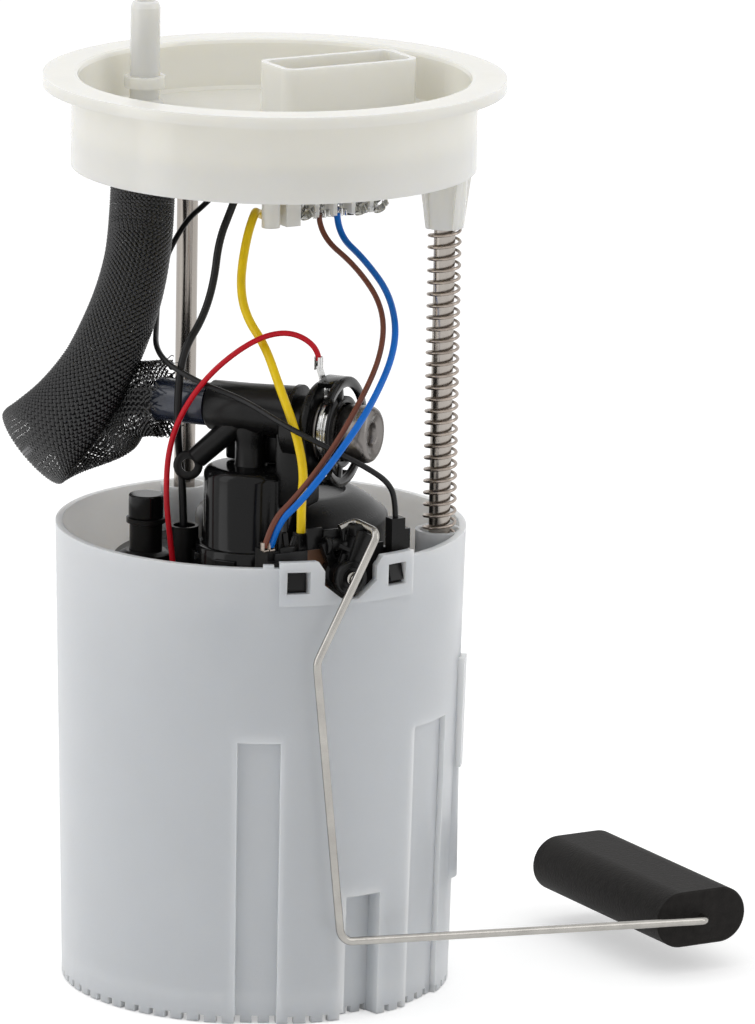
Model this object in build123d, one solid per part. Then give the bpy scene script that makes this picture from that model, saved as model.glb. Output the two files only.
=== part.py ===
from build123d import *
import os
from math import asin, atan2, cos, degrees, pi, radians, sin, tan

# Fuel pump module: a round flange cup that closes the tank, two steel guide rods that slide
# in the swirl pot below it, and the pot with its pump, manifold, regulator and level sender.
# Millimetres, +Z up. The pot's axis is X = Y = 0, its tooth tips stand on z = 0, and the
# level sender faces -Y with its float towards +X.

os.makedirs("parts", exist_ok=True)

# Swirl pot
pot_height = 130.0
pot_top_radius = 57.2
pot_base_radius = 54.3
pot_wall = 2.0
pot_floor_underside = 6.0
pot_floor = 2.4
foot_radius = 8.0
tooth_count = 68
tooth_gap_width = 1.6
tooth_gap_height = 2.0
channel_depth = 1.6
channel_top = 80.5
slot_top = 35.2
slot_depth = 5.0

# Flange cup
flange_offset = 2.5
rim_radius = 64.0
rim_thickness = 3.2
rim_top = 256.2
skirt_radius = 56.1
skirt_bottom = 230.8
flange_wall = 2.0
cup_floor_top = 242.0
cup_floor = 2.2
nipple_x = -16.0
nipple_y = 41.0
nipple_radius = 4.15
nipple_bore = 2.6
nipple_top = 271.5
nipple_collar_radius = 5.75
nipple_collar_height = 3.2
socket_x = 27.8
socket_y = 9.0
socket_length = 42.5
socket_width = 18.0
socket_wall = 1.8
socket_top = 256.8
pin_count = 5
pin_pitch = 5.8
pin_block_bottom = 218.0

# Guide rods, their guides in the pot and the spring
rod_radius = 3.0
rod_running_clearance = 0.06
rod_right = (40.0, -30.0)
rod_left = (3.0, 50.0)
rod_bottom = 96.0
rod_boss_bottom = 215.5
rod_boss_radius = 5.3
guide_radius = 6.7
spring_chamber_radius = 5.5
guide_land_top = 112.0
guide_land_bottom = 104.0
guide_bottom = 30.6
slide_travel = 30.0
spring_radius = 4.55
spring_wire = 0.9
spring_turns = 31

# Pump and its holder
pump_x = 11.5
pump_y = 3.0
pump_radius = 19.5
pump_can_wall = 1.4
pump_bottom = 16.0
pump_top = 112.0
holder_plate_top = 119.0
holder_plate = 3.0
holder_radius = 41.0
cover_radius = 27.0
cover_top = 137.5
cover_shoulder = 128.0
armature_radius = 13.2
motor_shaft_radius = 1.8

# Outlet dome and manifold
dome_x = -7.8
dome_y = -7.7
dome_radius = 13.0
dome_ring_radius = 15.0
dome_ring_top = 126.4
dome_top = 148.5
dome_wall = 2.2
valve_lift = 2.5
manifold_turn = -53.0
manifold_height = 164.3
manifold_radius = 6.9
manifold_bore = 4.6
spigot_radius = 2.8
regulator_height = 160.6
regulator_radius = 8.0
retainer_radius = 15.4

# Level sender
sender_x = -3.5
sender_plate_front = -46.8
pivot_height = 126.5
pivot_pin_radius = 1.5
lever_front = -58.0
window_spacing = 29.8
window_size = 6.2
float_wire_radius = 1.15
float_wire_plane = -60.8
float_length = 69.0
float_width = 29.0
float_height = 16.0
float_x = 112.0
float_z = 15.7

# Hose, sleeve and wires
hose_radius = 3.9
sleeve_radius = 8.7
sleeve_wall = 0.8
coupling_radius = 6.0

# Clearances that seat one piece in another
fit_gap = 0.02
seat_gap = 0.3


def pot_radius(z):
    """Outer radius of the tapered pot at height z."""
    return pot_base_radius + (pot_top_radius - pot_base_radius) * z / pot_height


def turned(points, at=(0, 0)):
    """Solid of revolution about the vertical axis through `at`, from (radius, height) points."""
    outline = Polyline(*[(r, 0, z) for r, z in points], close=True)
    return Pos(at[0], at[1], 0) * revolve(make_face(outline), Axis.Z)


def turned_sector(points, first, last):
    """Part turn of (radius, height) points, in degrees from the sender's side (-Y) towards +X."""
    outline = Polyline(*[(r, 0, z) for r, z in points], close=True)
    body = revolve(make_face(outline), Axis.Z, revolution_arc=last - first)
    return Rot(0, 0, first - 90) * body


def wall_sector(inner, outer, bottom, top, first, last):
    """Sector that follows the pot's taper, between two offsets from its outer radius."""
    points = [(pot_radius(bottom) + inner, bottom), (pot_radius(bottom) + outer, bottom),
              (pot_radius(top) + outer, top), (pot_radius(top) + inner, top)]
    return turned_sector(points, first, last)


def rod_solid(radius, bottom, top, at=(0, 0)):
    """Upright cylinder from one height to another."""
    return Pos(at[0], at[1], bottom) * Cylinder(radius, top - bottom, align=(Align.CENTER, Align.CENTER, Align.MIN))


def block(x, y, z):
    """Box from its low and high corner in each direction."""
    size = (x[1] - x[0], y[1] - y[0], z[1] - z[0])
    return Pos(x[0], y[0], z[0]) * Box(*size, align=(Align.MIN, Align.MIN, Align.MIN))


def along_y(radius, near, far, x, z):
    """Cylinder along Y, from the face nearer the viewer to the far one."""
    body = Cylinder(radius, abs(far - near), align=(Align.CENTER, Align.CENTER, Align.MIN))
    return Pos(x, max(near, far), z) * Rot(90, 0, 0) * body


def manifold_frame(distance, height=manifold_height, sideways=0.0):
    """Place on the manifold's axis, `distance` from the dome's axis, with local Z along it."""
    turn = radians(manifold_turn)
    x = dome_x + distance * cos(turn) - sideways * sin(turn)
    y = dome_y + distance * sin(turn) + sideways * cos(turn)
    return Plane(origin=(x, y, height), x_dir=(0, 0, 1), z_dir=(cos(turn), sin(turn), 0)).location


def manifold_cylinder(radius, first, last, height=manifold_height):
    """Cylinder along the manifold's axis between two distances from the dome's axis."""
    body = Cylinder(radius, last - first, align=(Align.CENTER, Align.CENTER, Align.MIN))
    return manifold_frame(first, height) * body


def fillet_radii(points):
    """Largest arcs that the runs of a route allow, one for each corner."""
    radii = []
    for before, corner, after in zip(points, points[1:], points[2:]):
        run_in = corner - before
        run_out = after - corner
        turn = radians(run_in.get_angle(run_out))
        radii.append(0.45 * min(run_in.length, run_out.length) / tan(turn / 2))
    return radii


def tube(route, radius, bore=0.0, name=""):
    """Tube of straight runs and tangent arcs along a route; a bored one is joined run by run."""
    points = [Vector(*p) for p in route]
    radii = fillet_radii(points)
    path = FilletPolyline(*points, radius=radii)
    if bore:
        ring = Circle(radius) - Circle(bore)
        runs = [sweep(Plane(origin=run @ 0, z_dir=run % 0) * ring, path=run) for run in path.edges()]
        body = runs[0].fuse(*runs[1:])
    else:
        body = sweep(Plane(origin=path @ 0, z_dir=path % 0) * Circle(radius), path=path)
    expected = pi * (radius ** 2 - bore ** 2) * path.length
    print(name, "length", round(path.length, 1), "volume share", round(body.volume / expected, 4),
          "radii", [round(r, 1) for r in radii])
    return body


parts = {}


# Swirl pot: tapered wall with a toothed foot, two guide tubes and the sender's panel
def swirl_pot():
    floor_top = pot_floor_underside + pot_floor
    inner_base = pot_radius(floor_top) - pot_wall
    shell = turned([(pot_base_radius, 0), (pot_top_radius, pot_height), (pot_top_radius - pot_wall, pot_height),
                    (inner_base, floor_top), (0, floor_top), (0, pot_floor_underside),
                    (pot_radius(pot_floor_underside) - pot_wall, pot_floor_underside),
                    (pot_base_radius - pot_wall, 0)])
    shell += rod_solid(foot_radius, 0, pot_floor_underside + 1)

    # The panel that carries the sender stands a little out of the wall and above the rim
    panel_low = pot_height - 10.5
    panel_high = pot_height + 1.8
    shell += wall_sector(-pot_wall + 0.3, 0.6, panel_low, panel_high, -24.0, 17.5)
    shell += wall_sector(-pot_wall + 0.3, -0.3, pot_height - 2, pot_height + 1.0, -28.5, -25.5)

    # Notch for the lever and two windows for the sender's latches
    notch_points = [(-10.5, 3.0), (-7.9, -1.0), (-7.9, -5.0), (-2.3, -9.5),
                    (2.3, -9.5), (7.9, -5.0), (7.9, -1.0), (10.5, 3.0)]
    notch = make_face(Polyline(*[(sender_x + x, pot_height + z) for x, z in notch_points], close=True))
    shell -= Pos(0, -45, 0) * extrude(Plane.XZ * notch, 20)
    for side in (-1, 1):
        x = sender_x + side * window_spacing / 2
        shell -= block((x - window_size / 2, x + window_size / 2), (-62, -45), (122.8, 122.8 + window_size))

    # Two sunk channels and the open slot between them, each with its own inner wall
    for first, last in ((-35.0, -22.8), (21.2, 38.6)):
        shell += wall_sector(-pot_wall - channel_depth, -0.4, 0, channel_top + pot_wall, first - 1.6, last + 1.6)
        shell -= wall_sector(-channel_depth, 2, -1, channel_top, first, last)
    shell += wall_sector(-slot_depth - pot_wall, -0.4, 0, slot_top + pot_wall, -4.2, 11.4)
    shell -= wall_sector(-slot_depth, 2, -1, slot_top, -2.3, 9.4)

    # Stop lug on the outside, over the right guide
    guide_angle = 90 + degrees(atan2(rod_right[1], rod_right[0]))
    shell += wall_sector(-1.0, 1.8, 62.5, 94.0, guide_angle - 2.8, guide_angle + 2.8)

    # Guide tubes for the rods: a wide spring chamber, a close land and a clear well below
    for at in (rod_right, rod_left):
        shell += rod_solid(guide_radius, guide_bottom, pot_height, at)
        shell -= rod_solid(spring_chamber_radius, guide_land_top, pot_height + 1, at)
        shell -= rod_solid(rod_radius + rod_running_clearance, guide_land_bottom - 1, guide_land_top + 1, at)
        shell -= rod_solid(spring_chamber_radius, guide_bottom + pot_wall, guide_land_bottom, at)

    # Inlet port in the floor, and the gaps between the teeth of the foot
    shell -= rod_solid(foot_valve_bore, 0, floor_top + 1, foot_valve_at)
    for i in range(tooth_count // 2):
        cutter = block((-70, 70), (-tooth_gap_width / 2, tooth_gap_width / 2), (-1, tooth_gap_height))
        core = rod_solid(foot_radius + 2, -2, 3)
        shell -= Rot(0, 0, (i + 0.5) * 360 / tooth_count) * (cutter - core)
    return shell


foot_valve_at = (-26.0, -20.0)
foot_valve_bore = 5.0
foot_valve_lift = 2.0


def foot_valve():
    """Inlet valve in the pot's floor: a disc over the port and a stem with a stop below it."""
    floor_top = pot_floor_underside + pot_floor
    disc = turned([(0, floor_top + 0.05), (8.0, floor_top + 0.05), (8.0, floor_top + 1.3), (2.4, floor_top + 2.2),
                   (0, floor_top + 2.2)], foot_valve_at)
    disc += rod_solid(1.4, 3.2, floor_top + 1, foot_valve_at)
    stop_top = pot_floor_underside + 0.9 - foot_valve_lift - 0.6
    disc += rod_solid(2.2, stop_top - 1.2, stop_top, foot_valve_at)
    return disc


def foot_valve_guide():
    """Spider pressed in the port that guides the valve's stem."""
    height = (pot_floor_underside + 0.9, pot_floor_underside + pot_floor)
    ring = rod_solid(foot_valve_bore - fit_gap, *height) - rod_solid(foot_valve_bore - 1, 0, 20)
    hub = rod_solid(2.4, *height)
    for i in range(3):
        hub += Rot(0, 0, 120 * i) * block((2.0, foot_valve_bore - 0.5), (-0.6, 0.6), height)
    return Pos(*foot_valve_at, 0) * (ring + hub - rod_solid(1.4 + 0.06, 0, 20))


# Flange cup with its outlet nipple, connector socket and rod bosses, moulded as one piece
def flange_cup():
    floor_bottom = cup_floor_top - cup_floor
    inner = skirt_radius - flange_wall
    cup = turned([(0, floor_bottom), (inner - 0.5, floor_bottom), (inner, floor_bottom - 0.5),
                  (inner, skirt_bottom), (skirt_radius, skirt_bottom),
                  (skirt_radius, rim_top - rim_thickness), (rim_radius, rim_top - rim_thickness),
                  (rim_radius, rim_top), (inner + 1.2, rim_top), (inner + 0.35, rim_top - 0.35),
                  (inner, rim_top - 1.2), (inner, cup_floor_top + 1), (inner - 1, cup_floor_top),
                  (0, cup_floor_top)], (flange_offset, 0))

    # Outlet nipple: tube, collar and rounded lip above the floor, plain spigot below it
    at = (nipple_x, nipple_y)
    collar = (247.2, 247.2 + nipple_collar_height)
    cup += turned([(0, floor_bottom - 0.5), (nipple_radius + 1, floor_bottom - 0.5), (nipple_radius + 1, cup_floor_top + 1),
                   (nipple_radius, cup_floor_top + 2), (nipple_radius, collar[0]), (nipple_collar_radius, collar[0]),
                   (nipple_collar_radius, collar[1]), (nipple_radius, collar[1]), (nipple_radius, nipple_top - 1.8),
                   (nipple_radius - 0.5, nipple_top - 0.5), (nipple_radius - 1.3, nipple_top), (0, nipple_top)], at)
    cup += turned([(0, 225.0), (spigot_radius - 0.6, 225.0), (spigot_radius, 227.0), (spigot_radius, 240), (0, 240)], at)
    cup -= turned([(0, 220), (1.7, 220), (1.7, 236), (nipple_bore, 238), (nipple_bore, nipple_top + 1),
                   (0, nipple_top + 1)], at)

    # Connector socket: rounded box open at the top, its terminal block and ribs below the floor
    box = Pos(socket_x, socket_y, 0) * extrude(RectangleRounded(socket_length, socket_width, 4.0), socket_top)
    box -= Pos(socket_x, socket_y, 0) * extrude(
        RectangleRounded(socket_length - 2 * socket_wall, socket_width - 2 * socket_wall, 2.4), socket_top + 1)
    cup += box & block((-70, 70), (-70, 70), (floor_bottom, socket_top))
    first_pin = socket_x - pin_pitch * (pin_count - 1) / 2
    last_pin = socket_x + pin_pitch * (pin_count - 1) / 2
    cup += block((first_pin - 4.5, last_pin + 3), (socket_y - 5, socket_y + 3), (pin_block_bottom, floor_bottom + 1))
    cup += block((first_pin - 7.0, first_pin - 2.6), (socket_y - 5, socket_y + 3), (211.8, floor_bottom + 1))
    cup += rod_solid(2.6, 211.8, floor_bottom + 1, (first_pin - 11, socket_y - 3))
    for i in range(pin_count - 1):
        x = first_pin + (i + 0.5) * pin_pitch
        cup += block((x - 0.6, x + 0.6), (socket_y - 4.5, socket_y + 2.5), (213.6, pin_block_bottom + 1))
    for i in range(pin_count):
        x = first_pin + i * pin_pitch
        cup -= block((x - 1.4 - fit_gap, x + 1.4 + fit_gap), (socket_y - 0.4 - fit_gap, socket_y + 0.4 + fit_gap),
                     (pin_block_bottom - 1, cup_floor_top + 1))

    # Rod bosses: a tapered core with four fins, bored for the rods
    for at in (rod_right, rod_left):
        boss = turned([(0, rod_boss_bottom), (rod_boss_radius, rod_boss_bottom), (rod_boss_radius + 1.0, skirt_bottom),
                       (rod_boss_radius + 1.4, floor_bottom + 1), (0, floor_bottom + 1)])
        fin = Polyline((0, 0, rod_boss_bottom), (rod_boss_radius + 0.4, 0, rod_boss_bottom),
                       (8.0, 0, skirt_bottom), (8.0, 0, floor_bottom + 1), (0, 0, floor_bottom + 1), close=True)
        fin = extrude(make_face(fin), 0.8, dir=(0, 1, 0), both=True)
        for i in range(4):
            boss += Rot(0, 0, 90 * i) * fin
        inside = rod_solid(skirt_radius - 0.5, 200, floor_bottom + 1, (flange_offset, 0))
        cup += (Pos(*at, 0) * boss) & inside
        cup -= rod_solid(rod_radius + fit_gap, rod_boss_bottom - 1, cup_floor_top - cup_floor - 3, at)
    return cup


def connector_pins():
    """Five flat contact blades, from the socket through the floor to the crimp barrels."""
    blades = []
    for i in range(pin_count):
        x = socket_x + (i - (pin_count - 1) / 2) * pin_pitch
        blades.append(block((x - 1.4, x + 1.4), (socket_y - 0.4, socket_y + 0.4), (pin_block_bottom - 2, 251.0)))
    return Compound(children=blades)


def crimp_terminals():
    """Five open crimp barrels that hold the wire ends below the terminal block."""
    barrels = []
    for i in range(pin_count):
        x = socket_x + (i - (pin_count - 1) / 2) * pin_pitch
        barrel = block((x - 1.8, x + 1.8), (socket_y - 1.9, socket_y + 1.5), (211.4, pin_block_bottom - 2))
        barrel -= block((x - 1.3, x + 1.3), (socket_y - 3, socket_y + 0.9), (211.0, pin_block_bottom))
        barrel += block((x - 1.8, x + 1.8), (socket_y + 0.4, socket_y + 1.5), (pin_block_bottom - 4, pin_block_bottom - 0.3))
        barrels.append(barrel)
    return Compound(children=barrels)


def guide_rod(at):
    """Steel rod with a snap groove near its lower end."""
    top = cup_floor_top - cup_floor - 3.5
    rod = turned([(0, rod_bottom), (rod_radius - 0.6, rod_bottom), (rod_radius, rod_bottom + 0.6),
                  (rod_radius, guide_land_bottom - 1.6), (rod_radius - 0.7, guide_land_bottom - 1.6),
                  (rod_radius - 0.7, guide_land_bottom - 0.4), (rod_radius, guide_land_bottom - 0.4),
                  (rod_radius, top), (0, top)], at)
    return rod


def rod_stop_clips():
    """Two open snap rings in the rods' grooves, which stop the slide at full height."""
    clips = []
    for at in (rod_right, rod_left):
        ring = rod_solid(spring_chamber_radius - 0.8, guide_land_bottom - 1.5, guide_land_bottom - 0.5)
        ring -= rod_solid(rod_radius - 0.7 + fit_gap, guide_land_bottom - 2, guide_land_bottom)
        ring -= block((0, 8), (-1.5, 1.5), (guide_land_bottom - 2, guide_land_bottom))
        clips.append(Pos(*at, 0) * ring)
    return Compound(children=clips)


def coil_spring():
    """Compression spring round the right rod, from its boss to the land in the guide."""
    low = guide_land_top + spring_wire / 2 + 0.05
    high = rod_boss_bottom - spring_wire / 2 - 0.05
    helix = Helix(pitch=(high - low) / spring_turns, height=high - low, radius=spring_radius)
    half = spring_wire / 2
    start = Plane(origin=helix @ 0, z_dir=helix % 0)
    wire = sweep(start * RegularPolygon(half * 1.05, 6), path=helix, is_frenet=True)
    return Pos(*rod_right, low) * wire


# Electric pump below the round cover, and the black holder that carries everything in the pot
pump_at = (pump_x, pump_y)
dome_at = (dome_x, dome_y)


def pump_holder():
    plate = rod_solid(holder_radius, holder_plate_top - holder_plate, holder_plate_top, (1, 2))
    sleeve_bottom = 66.0
    plate += rod_solid(pump_radius + 3.4, sleeve_bottom, holder_plate_top, pump_at)
    for turn in (-58, 20, 150, 230):
        reach = pot_radius(holder_plate_top - 13) - pot_wall - seat_gap
        arm = block((30, reach), (-4.5, 4.5), (holder_plate_top - 13, holder_plate_top))
        arm -= block((20, reach - 2), (-3.0, 3.0), (holder_plate_top - 14, holder_plate_top - holder_plate))
        plate += Rot(0, 0, turn) * arm
    plate -= rod_solid(pump_radius + 1.4, sleeve_bottom - 1, holder_plate_top + 1, pump_at)
    for turn in range(0, 360, 60):
        slit = block((pump_radius - 2, pump_radius + 6), (-2.5, 2.5), (sleeve_bottom - 1, sleeve_bottom + 24))
        plate -= Pos(*pump_at, 0) * Rot(0, 0, turn + 30) * slit

    # Stub base and wire cup beside the dome
    plate += turned([(0, holder_plate_top - 1), (7.3, holder_plate_top - 1), (7.3, holder_plate_top + 2.2),
                     (5.6, holder_plate_top + 3.0), (0, holder_plate_top + 3.0)], stub_at)
    plate -= rod_solid(4.6 + fit_gap, holder_plate_top - 4, holder_plate_top + 4, stub_at)
    plate += rod_solid(4.0, holder_plate_top - 1, 129.5, cup_at)
    plate -= rod_solid(3.1, holder_plate_top - 1, 130, cup_at)
    return plate


stub_at = (-29.0, 13.6)
cup_at = (-20.6, 6.8)


def vent_stub():
    """Short tube that stands on the holder, with a collar below its cap."""
    return turned([(2.4, holder_plate_top - 2.5), (4.6, holder_plate_top - 2.5), (4.6, 129.6), (5.5, 129.9),
                   (5.5, 131.2), (3.6, 131.5), (3.6, 136.3), (2.4, 136.3)], stub_at)


def vent_cap():
    """Closed cap pushed over the stub."""
    cap = rod_solid(4.9, 131.6, 137.9, stub_at) - rod_solid(3.6 + fit_gap, 131, 136.5, stub_at)
    return fillet(cap.edges().group_by(Axis.Z)[-1], 0.5)


def pump_cover():
    """Round black cover over the pump, with a conical shoulder and a recess for the dome."""
    cover = turned([(0, holder_plate_top), (cover_radius, holder_plate_top), (cover_radius, cover_shoulder),
                    (cover_radius - 1.2, cover_shoulder + 1.0), (cover_radius - 7.5, cover_top),
                    (cover_radius - 9.5, cover_top), (cover_radius - 10.5, cover_top - 1.2), (0, cover_top - 1.2)],
                   pump_at)
    cover -= rod_solid(pump_radius + 1.4, holder_plate_top - 1, holder_plate_top + 3.5, pump_at)
    cover -= rod_solid(dome_ring_radius + seat_gap, holder_plate_top - 1, cover_top + 1, dome_at)
    return cover


dome_floor = 122.0
pump_neck_radius = 3.6
dome_inlet = (8.1, 0.0)
dome_turn = 28.5


def outlet_dome():
    """Outlet housing: bayonet ring, hollow dome and the guide of the check valve's stem."""
    top = dome_top
    dome = turned([(0, holder_plate_top), (dome_ring_radius, holder_plate_top), (dome_ring_radius, dome_ring_top),
                   (dome_radius, dome_ring_top), (dome_radius, top - 2.5), (dome_radius - 0.8, top - 0.8),
                   (dome_radius - 2.5, top), (0, top)])
    dome -= turned([(0, 119.9), (3.0, 119.9), (3.0, dome_floor), (dome_radius - dome_wall, dome_floor),
                    (dome_radius - dome_wall, top - dome_wall), (0, top - dome_wall)])
    dome -= rod_solid(pump_neck_radius + fit_gap, holder_plate_top - 1, 120.9, dome_inlet)
    dome -= block((0, dome_inlet[0]), (-2, 2), (119.9, 120.9))
    for i in range(3):
        dome += Rot(0, 0, 120 * i) * block((2.2, dome_radius - 1), (-0.8, 0.8), (136, 139))
        lug = block((dome_ring_radius - 1, dome_ring_radius + 1.0), (-3.2, 3.2),
                    (holder_plate_top + 1.5, dome_ring_top - 2))
        dome += Rot(0, 0, 55 * i + 160 - dome_turn) * lug
    dome += rod_solid(3.0, 136, 139)
    dome -= rod_solid(1.5 + rod_running_clearance, 135, 140)
    dome -= rod_solid(4.2, top - dome_wall - 1, top + 1)
    return Pos(*dome_at, 0) * Rot(0, 0, dome_turn) * dome


def check_valve():
    """Poppet that opens the outlet and holds the line pressure when the pump stops."""
    return turned([(0, 122.05), (5.0, 122.05), (5.0, 123.4), (3.0, 124.4), (1.5, 124.4), (1.5, 139.5), (0, 139.5)],
                  dome_at)


def check_valve_spring():
    low, high = 124.5 + 0.3, 136 - 0.35
    helix = Helix(pitch=(high - low) / 5, height=high - low, radius=2.3)
    wire = sweep(Plane(origin=helix @ 0, z_dir=helix % 0) * RegularPolygon(0.3, 6), path=helix, is_frenet=True)
    return Pos(*dome_at, low) * wire


# Manifold: cross tube on the dome's neck, hose spigot at one end and regulator socket at the other
socket_first = 12.0
socket_last = 19.5
plate_thickness = 2.5
spigot_end = -25.0
tube_end = -12.0


def manifold():
    body = turned([(0, dome_top + 0.02), (10.0, dome_top + 0.02), (8.0, dome_top + 3.0), (6.2, dome_top + 6.0),
                   (6.2, manifold_height), (0, manifold_height)], dome_at)
    body += turned([(2.6, dome_top - 3.0), (4.2 - fit_gap, dome_top - 3.0), (4.2 - fit_gap, dome_top + 1), (2.6, dome_top + 1)],
                   dome_at)
    body += manifold_cylinder(manifold_radius, tube_end, socket_first + 2)
    body += manifold_cylinder(spigot_radius, spigot_end, tube_end + 2)
    body += manifold_cylinder(8.7, socket_first, socket_last, regulator_height)
    body += manifold_cylinder(13.5, socket_last, socket_last + plate_thickness, regulator_height)
    body -= manifold_cylinder(4.2, tube_end + 3, socket_first + 3)
    body -= manifold_cylinder(1.7, spigot_end - 1, tube_end + 4)
    body -= manifold_cylinder(6.0 + 2 * fit_gap, socket_first + 3, socket_last + plate_thickness + 1, regulator_height)
    body -= rod_solid(3.2, dome_top - 4, manifold_height, dome_at)

    # Side arm that leaves the tube downwards and ends in an open ring
    root = Vector(-12.2, -5.2, 159.2)
    eye = Vector(*eye_at)
    arm = Solid.make_cylinder(3.4, (eye - root).length - 3.2, Plane(origin=root, z_dir=eye - root))
    ring_frame = Plane(origin=eye, z_dir=eye_axis).location
    body += arm
    body += ring_frame * Cylinder(4.1, 3.4)
    body -= ring_frame * Cylinder(1.8, 8)
    return body


eye_at = (-21.8, 2.8, 147.5)
eye_axis = (-0.5, -0.866, 0.23)


def regulator_retainer():
    """Windowed cap that holds the regulator against the manifold's plate."""
    first = socket_last + plate_thickness + 3.2
    last = first + 3.2
    local = manifold_frame(0, regulator_height)
    ring = Cylinder(retainer_radius, last - first, align=(Align.CENTER, Align.CENTER, Align.MIN))
    ring -= Pos(0, 0, -1) * Cylinder(regulator_radius + fit_gap, 9, align=(Align.CENTER, Align.CENTER, Align.MIN))
    window = Cylinder(retainer_radius - 2.2, 9) - Cylinder(10.4, 9)
    for i in range(4):
        wedge = Polyline((0, 0), (30, 13), (30, -13), close=True)
        sector = Pos(0, 0, -4) * extrude(make_face(wedge), 12)
        ring -= (window & (Rot(0, 0, 90 * i + 45) * sector))
    for i in (1, 2, 3):
        post = Cylinder(retainer_radius, 3.2, align=(Align.CENTER, Align.CENTER, Align.MAX)) - Cylinder(11.4, 9)
        wedge = Polyline((0, 0), (30, 7), (30, -7), close=True)
        post = post & (Rot(0, 0, 90 * i) * Pos(0, 0, -4) * extrude(make_face(wedge), 12))
        ring += post & Cylinder(13.4, 20)
    return local * Pos(0, 0, first) * ring


seal_place = 3.4


def pressure_regulator():
    """Regulator: pressed can with a collar, and the neck that seats in the manifold."""
    start = socket_last + plate_thickness
    outline = [(0, -6.5), (5.9, -6.5), (5.9, -seal_place - 1.0), (4.6, -seal_place - 1.0), (4.6, -seal_place + 1.0),
               (5.9, -seal_place + 1.0), (5.9, 0.05), (9.4, 0.05), (9.4, 1.2), (regulator_radius - 0.6, 1.2),
               (regulator_radius - 0.6, 6.9), (regulator_radius, 6.9), (regulator_radius, 13.6), (6.6, 15.2), (4.4, 15.2),
               (4.4, 14.7), (1.7, 14.7), (1.7, 11.0), (0, 11.0)]
    return manifold_frame(start, regulator_height) * turned(outline)


def regulator_clip():
    """Open spring clip round the regulator's neck, beside its collar."""
    ring = Cylinder(9.2, 1.0, align=(Align.CENTER, Align.CENTER, Align.MIN))
    ring -= Pos(0, 0, -1) * Cylinder(regulator_radius - 0.6 + fit_gap, 4, align=(Align.CENTER, Align.CENTER, Align.MIN))
    ring -= block((0, 12), (-4.5, 4.5), (-1, 3))
    return manifold_frame(socket_last + plate_thickness + 1.6, regulator_height) * ring


def ground_terminal():
    """Bent tab on the manifold's plate, with the crimp that ends the red wire."""
    foot = manifold_frame(socket_last + plate_thickness, regulator_height)
    tab = block((9.9, 14.6), (-1.6, 1.6), (0.03, 0.63))
    tab += block((14.0, 17.4), (-0.9, 0.9), (0.03, 0.63))
    barrel = Pos(19.2, 0, 0.33) * Rot(0, 90, 0) * Cylinder(1.25, 4.0)
    barrel -= Pos(20.8, 0, 0.33) * Rot(0, 90, 0) * Cylinder(0.85, 4.0)
    return foot * (tab + barrel)


# Pump: can with magnets and brushes, and the armature that drives the impeller
def pump_can():
    can = rod_solid(pump_radius, pump_bottom, pump_top, pump_at)
    can -= rod_solid(pump_radius - pump_can_wall, pump_bottom - 1, pump_top + 1, pump_at)
    return can


inner_radius = pump_radius - pump_can_wall - fit_gap
impeller_low = 24.0
impeller_high = 27.5


def pump_inlet_plate():
    plate = rod_solid(inner_radius, pump_bottom, impeller_low - 0.1, pump_at)
    plate += rod_solid(6.0, pump_bottom - 3.5, pump_bottom, (pump_x + 9.5, pump_y))
    plate -= rod_solid(4.0, pump_bottom - 5, impeller_low, (pump_x + 9.5, pump_y))
    plate -= rod_solid(motor_shaft_radius + 0.05, impeller_low - 4, impeller_low + 1, pump_at)
    return plate


def pump_outlet_plate():
    plate = rod_solid(inner_radius, impeller_low - 0.1, 33.0, pump_at)
    plate -= rod_solid(16.6, impeller_low - 0.2, impeller_high + 0.1, pump_at)
    plate -= rod_solid(motor_shaft_radius + 0.05, 20, 34, pump_at)
    plate -= rod_solid(2.4, 26, 34, (pump_x - 13.0, pump_y))
    return plate


def impeller():
    wheel = rod_solid(16.4, impeller_low, impeller_high)
    for i in range(24):
        vane_gap = block((14.2, 18), (-0.9, 0.9), (impeller_low - 1, impeller_high + 1))
        wheel -= Rot(0, 0, 15 * i) * vane_gap
    wheel -= rod_solid(motor_shaft_radius + fit_gap, 20, 30)
    return Pos(*pump_at, 0) * wheel


def motor_magnets():
    """Two curved magnets inside the can, round the armature."""
    arcs = []
    for side in (0, 180):
        arc = rod_solid(inner_radius, 42, 84) - rod_solid(armature_radius + 0.8, 40, 86)
        wedge = extrude(make_face(Polyline((0, 0, 40), (30, 40, 40), (30, -40, 40), close=True)), 50, dir=(0, 0, 1))
        arcs.append(Pos(*pump_at, 0) * Rot(0, 0, side) * (arc & wedge))
    return Compound(children=arcs)


def armature():
    core = rod_solid(armature_radius, 46, 80)
    for i in range(8):
        core -= Rot(0, 0, 45 * i) * block((armature_radius - 3.5, armature_radius + 1), (-0.9, 0.9), (45, 81))
    core -= rod_solid(motor_shaft_radius + fit_gap, 40, 90)
    return Pos(*pump_at, 0) * core


def commutator():
    drum = rod_solid(7.6, 86, 96, pump_at)
    return drum - rod_solid(motor_shaft_radius + fit_gap, 80, 100, pump_at)


def motor_shaft():
    return rod_solid(motor_shaft_radius, 21.0, 105.0, pump_at)


def brush_pair():
    brushes = []
    for side in (0, 180):
        brush = block((7.7, 12.5), (-2.2, 2.2), (88, 94))
        brushes.append(Pos(*pump_at, 0) * Rot(0, 0, side + 30) * brush)
    return Compound(children=brushes)


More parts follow.
